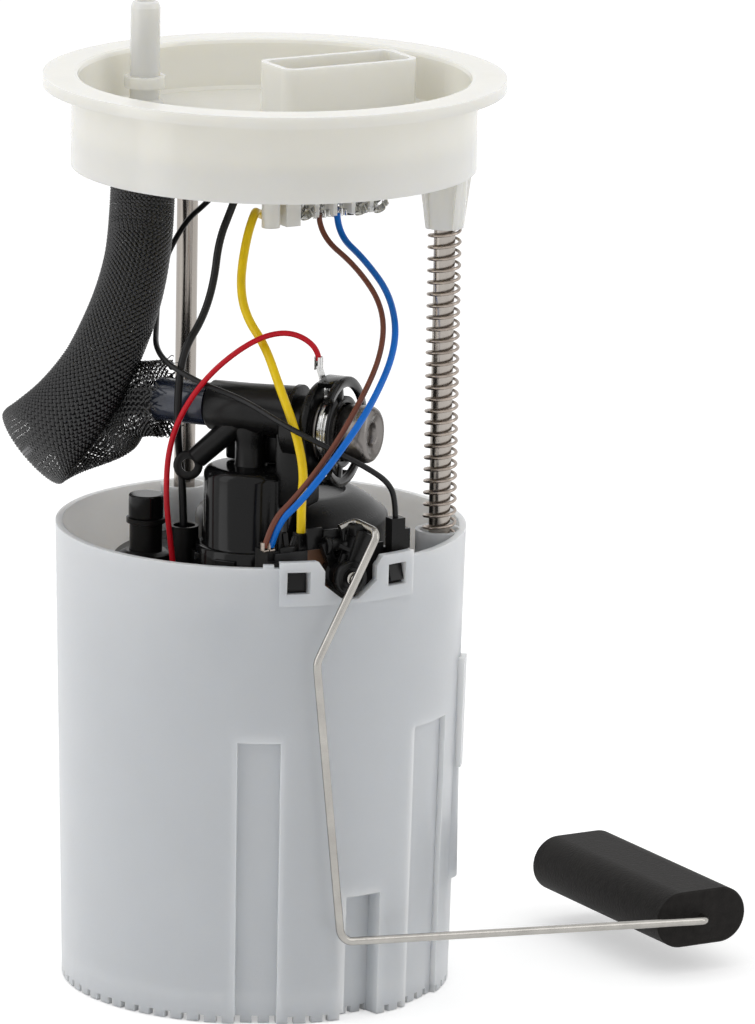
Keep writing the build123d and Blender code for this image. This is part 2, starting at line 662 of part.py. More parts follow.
def pump_end_cap():
    """Plastic end of the pump: brush holders, upper bearing and the outlet to the dome."""
    cap = rod_solid(inner_radius, 86, pump_top + 2)
    cap -= rod_solid(8.2, 85, 98)
    cap -= rod_solid(motor_shaft_radius + 0.05, 90, 107)
    for side in (0, 180):
        cap -= Rot(0, 0, side + 30) * block((6, 12.5 + fit_gap), (-2.2 - fit_gap, 2.2 + fit_gap), (88 - fit_gap, 94 + fit_gap))
    turn = radians(dome_turn)
    neck = (dome_x - pump_x + dome_inlet[0] * cos(turn), dome_y - pump_y + dome_inlet[0] * sin(turn))
    cap += rod_solid(pump_neck_radius, pump_top, 119.6, neck)
    cap -= rod_solid(2.0, 100, 120, neck)
    return Pos(*pump_at, 0) * cap


def pump_isolator():
    """Rubber sleeve that holds the pump quietly in its holder."""
    sleeve = rod_solid(pump_radius + 1.4 - fit_gap, 70, pump_top, pump_at)
    return sleeve - rod_solid(pump_radius + fit_gap, 60, 120, pump_at)


def inlet_strainer():
    """Flat strainer under the pump's inlet."""
    x, y = pump_x + 9.5, pump_y
    body = Pos(x, y, 9.2) * extrude(RectangleRounded(30, 40, 8), 2.6)
    body += rod_solid(7.0, 11.0, 14.6, (x, y))
    body -= rod_solid(6.0 + fit_gap, 12.4, 16, (x, y))
    body -= rod_solid(3.6, 10.6, 13, (x, y))
    return body


def jet_pump():
    """Venturi jet beside the inlet valve, fed from the pump, which keeps the pot full."""
    z = 13.0
    tube_body = Pos(-24, 8, z) * Rot(90, 0, 0) * Cylinder(3.4, 26)
    tube_body += Pos(-24, 20, z) * Rot(90, 0, 0) * Cylinder(4.4, 8)
    tube_body += rod_solid(2.6, z, 44, (-24, 20))
    tube_body += block((-27.4, -20.6), (-4, 4), (8.42, z))
    tube_body -= Pos(-24, 4, z) * Rot(90, 0, 0) * Cylinder(2.2, 20)
    tube_body -= rod_solid(1.5, z, 45, (-24, 20))
    return tube_body


# Level sender: plate with latches and card inside the pot's wall, lever, wire and float outside it
def sender_body():
    front = sender_plate_front
    body = block((sender_x - 20.5, sender_x + 18.5), (front, front + 3.0), (94, 130.5))
    body -= block((sender_x - 6.5, sender_x + 6.5), (front - 1, front + 4), (98, 112))
    for x in (sender_x - 20.5, sender_x + 17.0):
        body += block((x, x + 1.5), (front - 1.6, front + 5.0), (94, 130.5))

    # Latch tongues follow the wall and fill its windows
    for side in (-1, 1):
        x = sender_x + side * window_spacing / 2
        angle = degrees(asin(x / 54.2))
        half = degrees(window_size / 2 / 54.2)
        outer = pot_top_radius - pot_wall - 0.5
        end = angle + side * (half + 3.2)
        low, high = min(angle - half, end), max(angle + half, end)
        tongue = turned_sector([(outer - 1.1, 118), (outer, 118), (outer, 131), (outer - 1.1, 131)], low, high)
        nib = turned_sector([(outer - 0.5, 124.0), (outer + 2.3, 124.0), (outer + 1.0, 128.2), (outer - 0.5, 128.2)],
                            angle - half + 0.9, angle + half - 0.9)
        post = block((x + side * 4.6 - 1.0, x + side * 4.6 + 1.0), (-53, front + 1), (118, 131))
        post = post & rod_solid(outer, 110, 140)
        body += tongue + nib + post

    # Pivot boss, bracket of the right connector and block of the two terminals
    body += block((sender_x + 15.8, sender_x + 21.0), (front - 5.0, front + 1), (127.5, 131.5))
    body += along_y(3.0, front + 1, front - 1.2, sender_x, pivot_height)
    body -= along_y(pivot_pin_radius + fit_gap, front - 3, front + 5, sender_x, pivot_height)
    body += block((sender_x - 20.5, sender_x - 13.5), (front, front + 7.0), (128, 133.5))
    return body


def resistor_card():
    """Ceramic card with the resistor track that the wiper runs on."""
    front = sender_plate_front
    card = block((sender_x - 18.5, sender_x + 15.5), (front - 0.8, front - 0.02), (99, 133.0))
    card -= along_y(3.1, front - 2, front + 2, sender_x, pivot_height)
    return card


def pivot_pin():
    """Steel rivet that the lever turns on."""
    pin = along_y(pivot_pin_radius, sender_plate_front + 2.6, lever_front - 0.05, sender_x, pivot_height)
    pin += along_y(1.9, lever_front - 0.05, lever_front - 0.75, sender_x, pivot_height)
    return pin


def lever_holder():
    """Black lever: hub in the notch, saddle for the wire's hook and the wiper's carrier."""
    back = sender_plate_front - 1.3
    plate_front = back - 1.7
    hub = along_y(5.6, back, lever_front, sender_x, pivot_height)
    hub += along_y(2.9, plate_front + 0.5, plate_front - 0.4, *arm_point(125.5, 12.6))
    carrier = Polyline((sender_x + 3.5, pivot_height + 4.0), (sender_x + 6.8, pivot_height + 11.6),
                       (sender_x - 1.0, pivot_height + 13.4), (sender_x - 5.2, pivot_height + 13.0),
                       (sender_x - 9.6, pivot_height + 9.0), (sender_x - 5.0, pivot_height + 1.0), close=True)
    plate = extrude(Plane.XZ * make_face(carrier), 1.7)
    hub += Pos(0, back, 0) * plate
    saddle = Polyline((sender_x + 0.2, pivot_height + 3), (sender_x + 3.6, pivot_height + 3), (sender_x + 6.6, pivot_height + 10.6),
                      (sender_x + 2.0, pivot_height + 12.0), close=True)
    hub += Pos(0, back, 0) * extrude(Plane.XZ * make_face(saddle), abs(lever_front - back) - 0.4)
    hub -= along_y(pivot_pin_radius + 0.05, back + 1, lever_front - 1, sender_x, pivot_height)
    hub -= wire_solid(float_wire_radius + fit_gap)
    return hub


def arm_point(angle, radius):
    """Point at an angle and a distance from the lever's pivot, in X and Z."""
    return sender_x + radius * cos(radians(angle)), pivot_height + radius * sin(radians(angle))


def wiper_fingers():
    """Two thin contact fingers under the wiper's carrier, just clear of the card."""
    fingers = []
    back = sender_plate_front - 1.28
    for offset in (-1.2, 1.2):
        x, z = arm_point(125.5, 12.6)
        fingers.append(block((x + offset - 0.45, x + offset + 0.45), (back, back + 0.34), (z - 3.0, z + 2.4)))
    return Compound(children=fingers)


wire_route = [(float_x, -float_length / 2 - 16.0, float_z), (float_x, float_wire_plane, float_z),
              (-7.0, float_wire_plane, 24.6), (-16.0, float_wire_plane, 104.6), (2.6, float_wire_plane, 139.3),
              (1.2, -50.4, 140.3), (-3.4, -50.2, 138.8)]
wire_bends = [2.4, 4.5, 5.0, 2.6, 2.0]


def wire_solid(radius):
    path = FilletPolyline(*wire_route, radius=wire_bends)
    return sweep(Plane(origin=path @ 0, z_dir=path % 0) * Circle(radius), path=path)


float_near = -57.3


def level_float():
    """Foam float, flat above and below with round sides, which turns on the wire's end."""
    section = Plane.XZ * SlotOverall(float_width, float_height)
    body = Pos(float_x, float_near, float_z) * extrude(section, -float_length)
    body = chamfer(body.edges().filter_by(GeomType.LINE, reverse=True), 0.5)
    return body - along_y(float_wire_radius + 0.06, float_near - 1, -float_length / 2 - 15.5, float_x, float_z)


def sender_connectors():
    """Two narrow plug housings on the sender, open at the top for their wires."""
    front = sender_plate_front
    left = block((-14.2, -11.0), (front + 0.1, front + 3.5), (130.5, 137.6))
    left -= rod_solid(yellow_radius + fit_gap, 134.0, 138, (-12.6, front + 1.8))
    right = block((12.2, 16.4), (front - 5.0, front - 1.4), (131.5, 140.2))
    right += block((16.4, 18.2), (front - 4.6, front - 1.8), (131.5, 137.0))
    right -= rod_solid(thin_radius + fit_gap, 136.5, 141, (14.3, front - 3.2))
    return Compound(children=[left, right])


def sender_terminals():
    """Two crimped tabs on the sender's terminal block, for the blue and the brown wire."""
    tabs = []
    for x in (-23.0, -20.2):
        tab = block((x - 0.9, x + 0.9), (-46.6, -44.2), (133.5, 134.1))
        tab += rod_solid(0.9, 133.5, 135.2, (x, -45.4))
        tabs.append(tab)
    return Compound(children=tabs)


def regulator_seal():
    """O-ring between the regulator's neck and the manifold's bore."""
    return manifold_frame(socket_last + plate_thickness - seal_place, regulator_height) * Torus(5.31, 0.68)


def hose_coupling():
    """Clear sleeve shrunk over the hose where it is pushed on the manifold's spigot."""
    body = manifold_cylinder(coupling_radius, -28.0, tube_end - 0.6)
    return body - manifold_cylinder(hose_radius + 0.05, -29, tube_end)


# Wires, hose and braided sleeve, each along its own chosen centre line
yellow_radius = 1.25
brown_radius = 0.8
blue_radius = 0.95
thick_radius = 1.1
thin_radius = 0.8
red_radius = 0.8

yellow_route = [(16.2, 8.6, 213.4), (16.2, 8.6, 206.8), (13.6, 15.2, 205.6), (8.8, 15.4, 213.4), (4.6, 11.4, 217.6),
                (-2.6, 6.0, 209.0), (-7.4, 0.6, 198.0), (-9.3, -5.6, 190.2), (-8.4, -14.0, 183.3),
                (-8.4, -24.0, 174.3), (-7.9, -32.9, 163.2), (-8.2, -38.4, 153.0), (-11.2, -42.6, 146.6),
                (-12.6, -45.0, 141.0), (-12.6, -45.0, 134.6)]
brown_route = [(22.0, 8.6, 213.4), (22.1, 8.2, 207.6), (24.0, -9.8, 201.8), (23.6, -25.7, 193.3),
               (15.3, -39.4, 183.5), (2.6, -48.2, 171.1), (-6.4, -50.6, 159.0), (-16.6, -49.8, 148.0),
               (-22.4, -48.2, 142.2), (-23.0, -45.6, 135.6)]
blue_route = [(27.8, 8.6, 213.4), (27.9, 8.2, 207.4), (27.8, -7.4, 203.1), (27.4, -23.3, 195.6), (20.6, -38.6, 185.5),
              (6.6, -50.4, 172.6), (-5.0, -53.0, 159.6), (-14.8, -52.0, 147.4), (-19.6, -48.6, 141.8),
              (-20.2, -45.6, 135.6)]
thick_route = [(39.4, 8.6, 213.4), (39.4, 8.6, 205.4), (35.4, 16.4, 202.6), (27.0, 18.0, 208.4), (15.0, 17.4, 224.0),
               (6.6, 14.0, 231.6), (0.4, 10.9, 229.0), (-4.3, 11.1, 217.4), (-8.8, 10.3, 208.6),
               (-11.8, 7.4, 197.4), (-16.3, 5.3, 188.1), (-23.1, 3.3, 180.6), (-25.8, 1.6, 171.5),
               (-25.6, 2.3, 160.5), (-22.0, 7.9, 151.0), (-20.4, 8.2, 140.5), (-20.6, 6.8, 121.5)]
thin_route = [(33.6, 8.6, 213.4), (33.6, 8.6, 207.8), (31.0, 20.0, 209.8), (20.0, 26.0, 214.0), (11.0, 24.8, 222.0),
              (4.4, 22.4, 227.2), (0.2, 22.2, 223.2), (-3.1, 26.3, 216.3), (-5.6, 36.4, 208.6), (-10.4, 41.6, 194.0),
              (-18.6, 28.0, 183.2), (-29.4, 8.6, 178.2), (-24.4, -5.0, 173.2), (-15.4, -17.4, 169.4), (-11.6, -32.4, 165.1),
              (-3.7, -44.6, 160.0), (5.7, -48.6, 154.8), (12.4, -50.2, 149.8), (14.3, -50.0, 143.6), (14.3, -50.0, 137.2)]
red_route = [(5.64, -25.53, 180.2), (5.64, -25.53, 184.6), (-0.3, -21.0, 188.5), (-7.2, -16.5, 187.2), (-15.0, -13.8, 183.2),
             (-23.0, -9.9, 175.5), (-28.2, -4.8, 164.8), (-29.8, -0.4, 153.6), (-30.6, -0.5, 141.9),
             (-30.1, -1.7, 130.8), (-28.8, -2.4, 119.3)]
hose_route = [(nipple_x, nipple_y, 239.0), (nipple_x, nipple_y, 213.0), (-25.5, 28.3, 194.5), (-39.5, 21.8, 175.5),
              (-49.5, 26.0, 161.5), (-55.0, 37.0, 151.0), (-50.0, 53.0, 144.0), (-36.0, 58.0, 145.5),
              (-22.5, 46.0, 151.5), (-30.67, 22.65, manifold_height), (-15.38, 2.36, manifold_height)]


def fuel_hose():
    return tube(hose_route, hose_radius, spigot_radius + 0.05, "hose")


def braided_sleeve():
    route = hose_route[:-1] + [(-22.25, 11.48, manifold_height)]
    return tube(route, sleeve_radius, sleeve_radius - sleeve_wall, "sleeve")


# Every piece under its node's name
nodes = {
    "swirl_pot": swirl_pot, "foot_valve_guide": foot_valve_guide, "foot_valve": foot_valve,
    "flange_cup": flange_cup, "connector_pins": connector_pins, "crimp_terminals": crimp_terminals,
    "guide_rod_right": lambda: guide_rod(rod_right), "guide_rod_left": lambda: guide_rod(rod_left),
    "rod_stop_clips": rod_stop_clips, "coil_spring": coil_spring,
    "pump_holder": pump_holder, "vent_stub": vent_stub, "vent_cap": vent_cap, "pump_cover": pump_cover,
    "outlet_dome": outlet_dome, "check_valve": check_valve, "check_valve_spring": check_valve_spring,
    "manifold": manifold, "regulator_seal": regulator_seal, "pressure_regulator": pressure_regulator,
    "regulator_clip": regulator_clip, "regulator_retainer": regulator_retainer,
    "ground_terminal": ground_terminal, "hose_coupling": hose_coupling,
    "pump_can": pump_can, "pump_inlet_plate": pump_inlet_plate, "pump_outlet_plate": pump_outlet_plate,
    "pump_end_cap": pump_end_cap, "pump_isolator": pump_isolator, "motor_magnets": motor_magnets,
    "brush_pair": brush_pair, "armature_core": armature, "commutator": commutator,
    "motor_shaft": motor_shaft, "impeller": impeller, "inlet_strainer": inlet_strainer, "jet_pump": jet_pump,
    "sender_body": sender_body, "resistor_card": resistor_card, "pivot_pin": pivot_pin,
    "sender_connectors": sender_connectors, "sender_terminals": sender_terminals,
    "lever_holder": lever_holder, "wiper_fingers": wiper_fingers,
    "float_wire": lambda: wire_solid(float_wire_radius), "level_float": level_float,
    "fuel_hose": fuel_hose, "braided_sleeve": braided_sleeve,
    "wire_yellow": lambda: tube(yellow_route, yellow_radius, name="yellow"),
    "wire_brown": lambda: tube(brown_route, brown_radius, name="brown"),
    "wire_blue": lambda: tube(blue_route, blue_radius, name="blue"),
    "wire_black_thick": lambda: tube(thick_route, thick_radius, name="thick black"),
    "wire_black_thin": lambda: tube(thin_route, thin_radius, name="thin black"),
    "wire_red": lambda: tube(red_route, red_radius, name="red"),
}
for name, make in nodes.items():
    solid = make()
    parts[name] = solid
    print(name, len(solid.solids()), round(solid.volume, 1), solid.is_valid)
    export_step(solid, f"parts/{name}.step")
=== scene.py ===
import math
import random

import bmesh
import bpy
import numpy as np
from mathutils import Euler, Matrix, Vector


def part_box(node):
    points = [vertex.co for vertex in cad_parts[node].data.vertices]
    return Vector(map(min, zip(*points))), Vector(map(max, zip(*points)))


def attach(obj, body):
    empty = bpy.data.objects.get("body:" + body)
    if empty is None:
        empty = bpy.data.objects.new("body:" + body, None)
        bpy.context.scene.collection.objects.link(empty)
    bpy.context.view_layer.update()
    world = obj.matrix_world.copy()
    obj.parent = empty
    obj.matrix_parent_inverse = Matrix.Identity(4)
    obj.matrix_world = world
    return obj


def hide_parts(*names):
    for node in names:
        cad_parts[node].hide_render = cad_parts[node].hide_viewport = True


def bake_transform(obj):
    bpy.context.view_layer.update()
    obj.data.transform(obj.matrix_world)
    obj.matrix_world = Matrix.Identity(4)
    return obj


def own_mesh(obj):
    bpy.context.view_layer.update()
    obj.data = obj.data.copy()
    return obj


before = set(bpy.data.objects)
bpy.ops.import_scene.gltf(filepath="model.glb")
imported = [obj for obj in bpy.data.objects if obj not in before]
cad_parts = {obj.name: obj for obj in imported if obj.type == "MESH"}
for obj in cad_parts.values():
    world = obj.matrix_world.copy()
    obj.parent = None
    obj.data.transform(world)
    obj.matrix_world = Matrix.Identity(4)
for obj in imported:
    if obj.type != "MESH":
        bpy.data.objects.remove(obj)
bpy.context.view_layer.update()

# Camera
# It stands at the photograph's viewing angle, left of the sender and a little above, far away
# with a long lens, so that upright edges stay nearly parallel.
camera_data = bpy.data.cameras.new("camera")
camera_data.lens = 329.1
camera_data.sensor_width = 36.0
camera_data.shift_x = 0.0014
camera_data.clip_end = 50.0
camera = bpy.data.objects.new("camera", camera_data)
bpy.context.scene.collection.objects.link(camera)
camera.location = (-1.24034, -2.21236, 0.72999)
camera_turn = -math.radians(30)
camera_tilt, camera_roll = 0.23117, 0.016724
look = Euler((math.pi / 2 - camera_tilt, 0, camera_turn), "XYZ").to_matrix()
camera.rotation_euler = (look @ Matrix.Rotation(camera_roll, 3, "Z")).to_euler()
bpy.context.scene.camera = camera

# Swirl pot
# The pot is one injection moulding in unfilled acetal, pale grey with a blue cast, slightly
# cloudy, with a satin face. Its windows, slot and toothed foot are in the solid.


def make_finish(name, colour, rough, metal=0.0, spread=0.05, rough_spread=0.06, scale=40.0, grain=0.08,
                grain_scale=900.0, coat=0.0, cloudy=0.0, cloud_tint=(1.0, 0.95, 0.8), stretch=(1, 1, 1),
                shine=0.5, cloud_depth=0.006):
    """A finish with uneven colour, uneven gloss and a fine grain, all from noise on the piece itself."""
    finish = bpy.data.materials.new(name)
    finish.use_nodes = True
    tree = finish.node_tree
    shader = tree.nodes["Principled BSDF"]
    shader.inputs["Metallic"].default_value = metal
    shader.inputs["Coat Weight"].default_value = coat
    shader.inputs["Coat Roughness"].default_value = 0.08
    shader.inputs["Specular IOR Level"].default_value = shine
    if cloudy:
        shader.inputs["Subsurface Weight"].default_value = cloudy
        shader.inputs["Subsurface Radius"].default_value = cloud_tint
        shader.inputs["Subsurface Scale"].default_value = cloud_depth
    place = tree.nodes.new("ShaderNodeTexCoord")
    mapping = tree.nodes.new("ShaderNodeMapping")
    mapping.inputs["Scale"].default_value = stretch
    broad = tree.nodes.new("ShaderNodeTexNoise")
    broad.inputs["Scale"].default_value = scale
    broad.inputs["Detail"].default_value = 5.0
    fine = tree.nodes.new("ShaderNodeTexNoise")
    fine.inputs["Scale"].default_value = grain_scale
    fine.inputs["Detail"].default_value = 3.0
    shades = tree.nodes.new("ShaderNodeValToRGB")
    for element, spot, share in zip(shades.color_ramp.elements, (0.32, 0.68), (1 - spread, 1 + spread)):
        element.position = spot
        element.color = (*(min(1.0, c * share) for c in colour), 1)
    uneven = tree.nodes.new("ShaderNodeMapRange")
    uneven.inputs["To Min"].default_value = max(0.02, rough - rough_spread)
    uneven.inputs["To Max"].default_value = min(1.0, rough + rough_spread)
    bump = tree.nodes.new("ShaderNodeBump")
    bump.inputs["Strength"].default_value = grain
    bump.inputs["Distance"].default_value = 0.0004
    join = tree.links.new
    join(place.outputs["Object"], mapping.inputs["Vector"])
    join(mapping.outputs["Vector"], broad.inputs["Vector"])
    join(mapping.outputs["Vector"], fine.inputs["Vector"])
    join(broad.outputs["Fac"], shades.inputs["Fac"])
    join(broad.outputs["Fac"], uneven.inputs["Value"])
    join(fine.outputs["Fac"], bump.inputs["Height"])
    join(shades.outputs["Color"], shader.inputs["Base Color"])
    join(uneven.outputs["Result"], shader.inputs["Roughness"])
    join(bump.outputs["Normal"], shader.inputs["Normal"])
    return finish


def dress(finish, *names):
    """Gives CAD nodes their finish."""
    for name in names:
        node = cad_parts[name]
        if not node.data.materials:
            node.data.materials.append(None)
        for place in node.material_slots:
            place.material = finish


pot_plastic = make_finish("pot_plastic", (0.79, 0.81, 0.825), 0.34, spread=0.02, scale=25, coat=0.1,
                          cloudy=0.8, cloud_tint=(1.0, 0.92, 0.82), cloud_depth=0.012)
dress(pot_plastic, "swirl_pot")

# Foot valve, jet pump and strainer
# A rubber valve sits on a black ribbed guide in the pot's floor, beside the moulded jet pump.
# The strainer is a pale woven nylon mesh under the pump's inlet.
black_plastic = make_finish("black_plastic", (0.0065, 0.0064, 0.0064), 0.30, spread=0.2, rough_spread=0.1,
                            scale=80, grain=0.1, grain_scale=1200, shine=0.20)
rubber = make_finish("rubber_black", (0.020, 0.020, 0.020), 0.6, spread=0.2, scale=200, grain=0.15,
                     grain_scale=1500)
strainer_mesh = make_finish("mesh_white", (0.72, 0.72, 0.68), 0.55, spread=0.06, scale=900, grain=0.6,
                            grain_scale=2500)
dress(black_plastic, "foot_valve_guide", "jet_pump")
dress(rubber, "foot_valve")
dress(strainer_mesh, "inlet_strainer")

# Fuel pump and its motor
# A rolled and plated steel can holds the magnets, armature and brushes, with black moulded
# plates at both ends and a black rubber sleeve round it. All of it is hidden in the pot.
plated_steel = make_finish("plated_steel", (0.66, 0.66, 0.65), 0.22, metal=1.0, spread=0.1, rough_spread=0.1,
                           scale=500, grain=0.3, grain_scale=700)
turned_steel = make_finish("steel", (0.37, 0.34, 0.31), 0.22, metal=1.0, spread=0.16, rough_spread=0.08,
                           scale=160, stretch=(1, 1, 0.03))
copper = make_finish("copper", (0.72, 0.36, 0.20), 0.28, metal=1.0, spread=0.1, scale=300)
magnet = make_finish("magnet", (0.07, 0.07, 0.075), 0.45, spread=0.2, scale=300, grain=0.2)
laminated_steel = make_finish("laminated_steel", (0.36, 0.35, 0.34), 0.40, metal=1.0, spread=0.1, scale=900,
                              stretch=(0.1, 0.1, 1))
dress(plated_steel, "pump_can")
dress(black_plastic, "pump_inlet_plate", "pump_outlet_plate", "pump_end_cap", "impeller")
dress(rubber, "pump_isolator")
dress(magnet, "motor_magnets")
dress(copper, "brush_pair", "commutator")
dress(laminated_steel, "armature_core")
dress(turned_steel, "motor_shaft")

# Pump holder, cover and vent stub
# Black glass-filled nylon mouldings in the pot's mouth, with a satin face and soft edges.
# The vent stub left of the dome has a glossier cap pressed into it.
gloss_black = make_finish("gloss_black", (0.005, 0.005, 0.0052), 0.14, spread=0.2, scale=60, grain=0.03,
                          grain_scale=500, coat=0.05, shine=0.20)
dress(black_plastic, "pump_holder", "vent_stub")
dress(gloss_black, "vent_cap")

# Outlet dome and its check valve
# The dome is a glossy black moulding with a rounded shoulder and three lugs that lock it in the
# pump's cover. The valve, its light spring and the three arms that guide its stem are inside.
spring_steel = make_finish("spring_steel", (0.36, 0.31, 0.27), 0.26, metal=1.0, spread=0.2, scale=300)
dress(black_plastic, "check_valve")
dress(spring_steel, "check_valve_spring")


def add_piece(name, mesh, finish):
    """Makes an object of a bmesh, smooth but for its sharp edges, and in its finish."""
    data = bpy.data.meshes.new(name)
    mesh.to_mesh(data)
    mesh.free()
    data.shade_smooth()
    data.set_sharp_from_angle(angle=math.radians(46))
    data.materials.append(finish)
    piece = bpy.data.objects.new(name, data)
    bpy.context.scene.collection.objects.link(piece)
    return piece


def join_bodies(name, bodies, finish):
    """One piece of several closed bodies, each a bmesh."""
    whole = bmesh.new()
    for body in bodies:
        part = bpy.data.meshes.new(name + "_part")
        body.to_mesh(part)
        body.free()
        whole.from_mesh(part)
        bpy.data.meshes.remove(part)
    return add_piece(name, whole, finish)


def turn_about(place, degrees):
    """The place, turned round its own Z."""
    return place @ Matrix.Rotation(math.radians(degrees), 4, "Z")


def turned_body(outline, place, first=0.0, sweep=360.0, steps=64):
    """Spins an outline of radii and heights in mm round the place's Z, fully or through part of a turn."""
    body = bmesh.new()
    points = [body.verts.new((radius / 1000, 0, height / 1000)) for radius, height in outline]
    for pair in zip(points, points[1:]):
        body.edges.new(pair)
    full_turn = sweep == 360.0
    end_face = [] if full_turn else [body.faces.new(points)]
    bmesh.ops.spin(body, geom=points + list(body.edges) + end_face, cent=(0, 0, 0), axis=(0, 0, 1),
                   angle=math.radians(sweep), steps=steps, use_merge=full_turn)
    bmesh.ops.remove_doubles(body, verts=body.verts[:], dist=1e-6)
    bmesh.ops.recalc_face_normals(body, faces=body.faces[:])
    bmesh.ops.transform(body, matrix=turn_about(place, first), verts=body.verts[:])
    return body


def block_body(low, high, place, edge=0.3):
    """A box between two corners in mm, with its edges rounded, put in place."""
    low, high = Vector(low) / 1000, Vector(high) / 1000
    body = bmesh.new()
    bmesh.ops.create_cube(body, size=1.0)
    bmesh.ops.scale(body, vec=high - low, verts=body.verts[:])
    bmesh.ops.translate(body, vec=(high + low) / 2, verts=body.verts[:])
    if edge:
        bmesh.ops.bevel(body, geom=body.edges[:], offset=edge / 1000, segments=2, profile=0.5, affect="EDGES",
                        material=-1)
    bmesh.ops.transform(body, matrix=place, verts=body.verts[:])
    return body


def at(x, y, z):
    """A place in mm, upright."""
    return Matrix.Translation(Vector((x, y, z)) / 1000)


dome_x, dome_y = -7.8, -7.7
dome_axis = at(dome_x, dome_y, 0)
shoulder = [(13.0 - 2.6 * (1 - math.cos(a)), 145.8 + 2.6 * math.sin(a)) for a in (0, 0.3, 0.6, 0.9, 1.2, 1.5)]
dome_outline = [(10.8, 122.0), (3.0, 122.0), (3.0, 119.05), (15.0, 119.05), (15.0, 126.0), (14.6, 126.4),
                (13.4, 126.4), (13.0, 127.0), *shoulder, (9.9, 148.5), (4.2, 148.5), (4.2, 146.3),
                (10.8, 146.3), (10.8, 122.0)]
dome_bodies = [turned_body(dome_outline, dome_axis, steps=96),
               turned_body([(1.7, 136.0), (3.0, 136.0), (3.0, 139.0), (1.7, 139.0), (1.7, 136.0)], dome_axis)]
for stem_arm in (28.5, 148.5, 268.5):
    dome_bodies.append(block_body((2.4, -0.8, 136), (11.2, 0.8, 139), turn_about(dome_axis, stem_arm), 0.2))
for lug in (160, 215, 270):
    dome_bodies.append(block_body((14, -3.2, 120.6), (16, 3.2, 124.4), turn_about(dome_axis, lug)))
dome = join_bodies("outlet_dome_moulding", dome_bodies, gloss_black)
cover = add_piece("pump_cover_moulding", turned_body(
    [(0, 122.55), (19.5, 122.55), (19.5, 119.05), (27, 119.05), (27, 129.6), (26.8, 130.8), (26.2, 131.7),
     (25.2, 132.3), (22.6, 134.6), (20, 136.3), (17.4, 137.5), (15.6, 137.9), (15.0, 137.7), (14.6, 136.4),
     (0, 136.2)],
    at(11.5, 3, 0), steps=96), black_plastic)
recess = add_piece("cover_recess", turned_body([(0, 118), (15.3, 118), (15.3, 140), (0, 140)], dome_axis,
                                               steps=96), black_plastic)
cutting = cover.modifiers.new("recess", "BOOLEAN")
cutting.operation = "DIFFERENCE"
cutting.object = recess
bpy.context.view_layer.update()
cut_cover = bpy.data.meshes.new_from_object(cover.evaluated_get(bpy.context.evaluated_depsgraph_get()))
cover.modifiers.clear()
bpy.data.objects.remove(recess)
cover.data = cut_cover
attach(cover, "reservoir")
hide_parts("pump_cover")
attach(dome, "reservoir")
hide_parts("outlet_dome")

# Manifold and hose coupling
# The cross tube is satin black nylon on a broad neck. Its socket for the regulator stands lower,
# and a flat duct below leads back to the pot. A short clear tube, tinted dark blue, joins the hose.
coupling_plastic = make_finish("clear_plastic", (0.020, 0.027, 0.050), 0.24, spread=0.35, scale=140,
                               grain=0.1, grain_scale=400, coat=0.4)
dress(coupling_plastic, "hose_coupling")
tube_turn = math.atan2(-0.799, 0.602)


def on_tube(height):
    """The place on the dome's axis at a height in mm whose Z points along the tube and whose X points up."""
    along = Vector((math.cos(tube_turn), math.sin(tube_turn), 0))
    turn = Matrix((Vector((0, 0, 1)), Vector((0, 0, 1)).cross(along) * -1, along)).transposed()
    if turn.determinant() < 0:
        turn.col[1] = -turn.col[1]
    return at(dome_x, dome_y, height) @ turn.to_4x4()


tube_height, socket_height = 164.3, 160.6
tube_place, socket_place = on_tube(tube_height), on_tube(socket_height)
arm_root, eye = Vector((-12.2, -5.2, 159.2)), Vector((-21.8, 2.8, 147.5))
arm_place = at(*arm_root) @ (eye - arm_root).to_track_quat("Z", "X").to_matrix().to_4x4()
eye_place = at(*eye) @ Vector((-0.5, -0.866, 0.23)).to_track_quat("Z", "X").to_matrix().to_4x4()
arm_length = (eye - arm_root).length
# 1 where the socket's Y points to the side that faces the camera, and -1 where it points away.
socket_sideways = socket_place.to_3x3() @ Vector((0, 1, 0))
near_side = 1 if socket_sideways.dot(Vector((-0.799, -0.602, 0))) > 0 else -1
manifold_bodies = [
    turned_body([(3.2, 148.55), (4.6, 148.55), (4.4, 149.2), (4.4, 155.5), (5.4, 158.5), (5.4, 162),
                 (3.2, 162), (3.2, 148.55)], dome_axis),
    block_body((-11.9, -7.2 * near_side, -9), (1, -2.4 * near_side, 12), socket_place, 1.0),
    turned_body([(2.6, 145.6), (4.1, 145.6), (4.1, 149), (2.6, 149), (2.6, 145.6)], dome_axis),
    turned_body([(1.7, -25), (2.6, -25), (2.8, -24.5), (2.8, -12), (6.4, -12), (6.9, -11.5), (7.1, 0),
                 (7.7, 13.4), (8.2, 13.8), (8.2, 15), (4.2, 15), (4.2, -9), (1.7, -9), (1.7, -25)],
                tube_place),
    turned_body([(6.1, 11.6), (8.1, 11.6), (8.7, 12.2), (8.9, 19.6), (13.0, 19.6), (13.5, 20.1), (13.5, 21.6),
                 (13.1, 22), (6.1, 22), (6.1, 11.6)], socket_place),
    block_body((-22.1, -6, 9.6), (-1, 6, 18.6), socket_place, 1.2),
    turned_body([(0, -2), (3.9, -2), (3.5, 1.5), (3.3, 3), (3.1, arm_length - 3.4), (0, arm_length - 3.4)],
                arm_place),
    turned_body([(1.8, -1.7), (3.6, -1.7), (4.1, -1.2), (4.1, 1.2), (3.6, 1.7), (1.8, 1.7), (1.8, -1.7)],
                eye_place)]
manifold = join_bodies("manifold_moulding", manifold_bodies, black_plastic)
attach(manifold, "reservoir")
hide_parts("manifold")

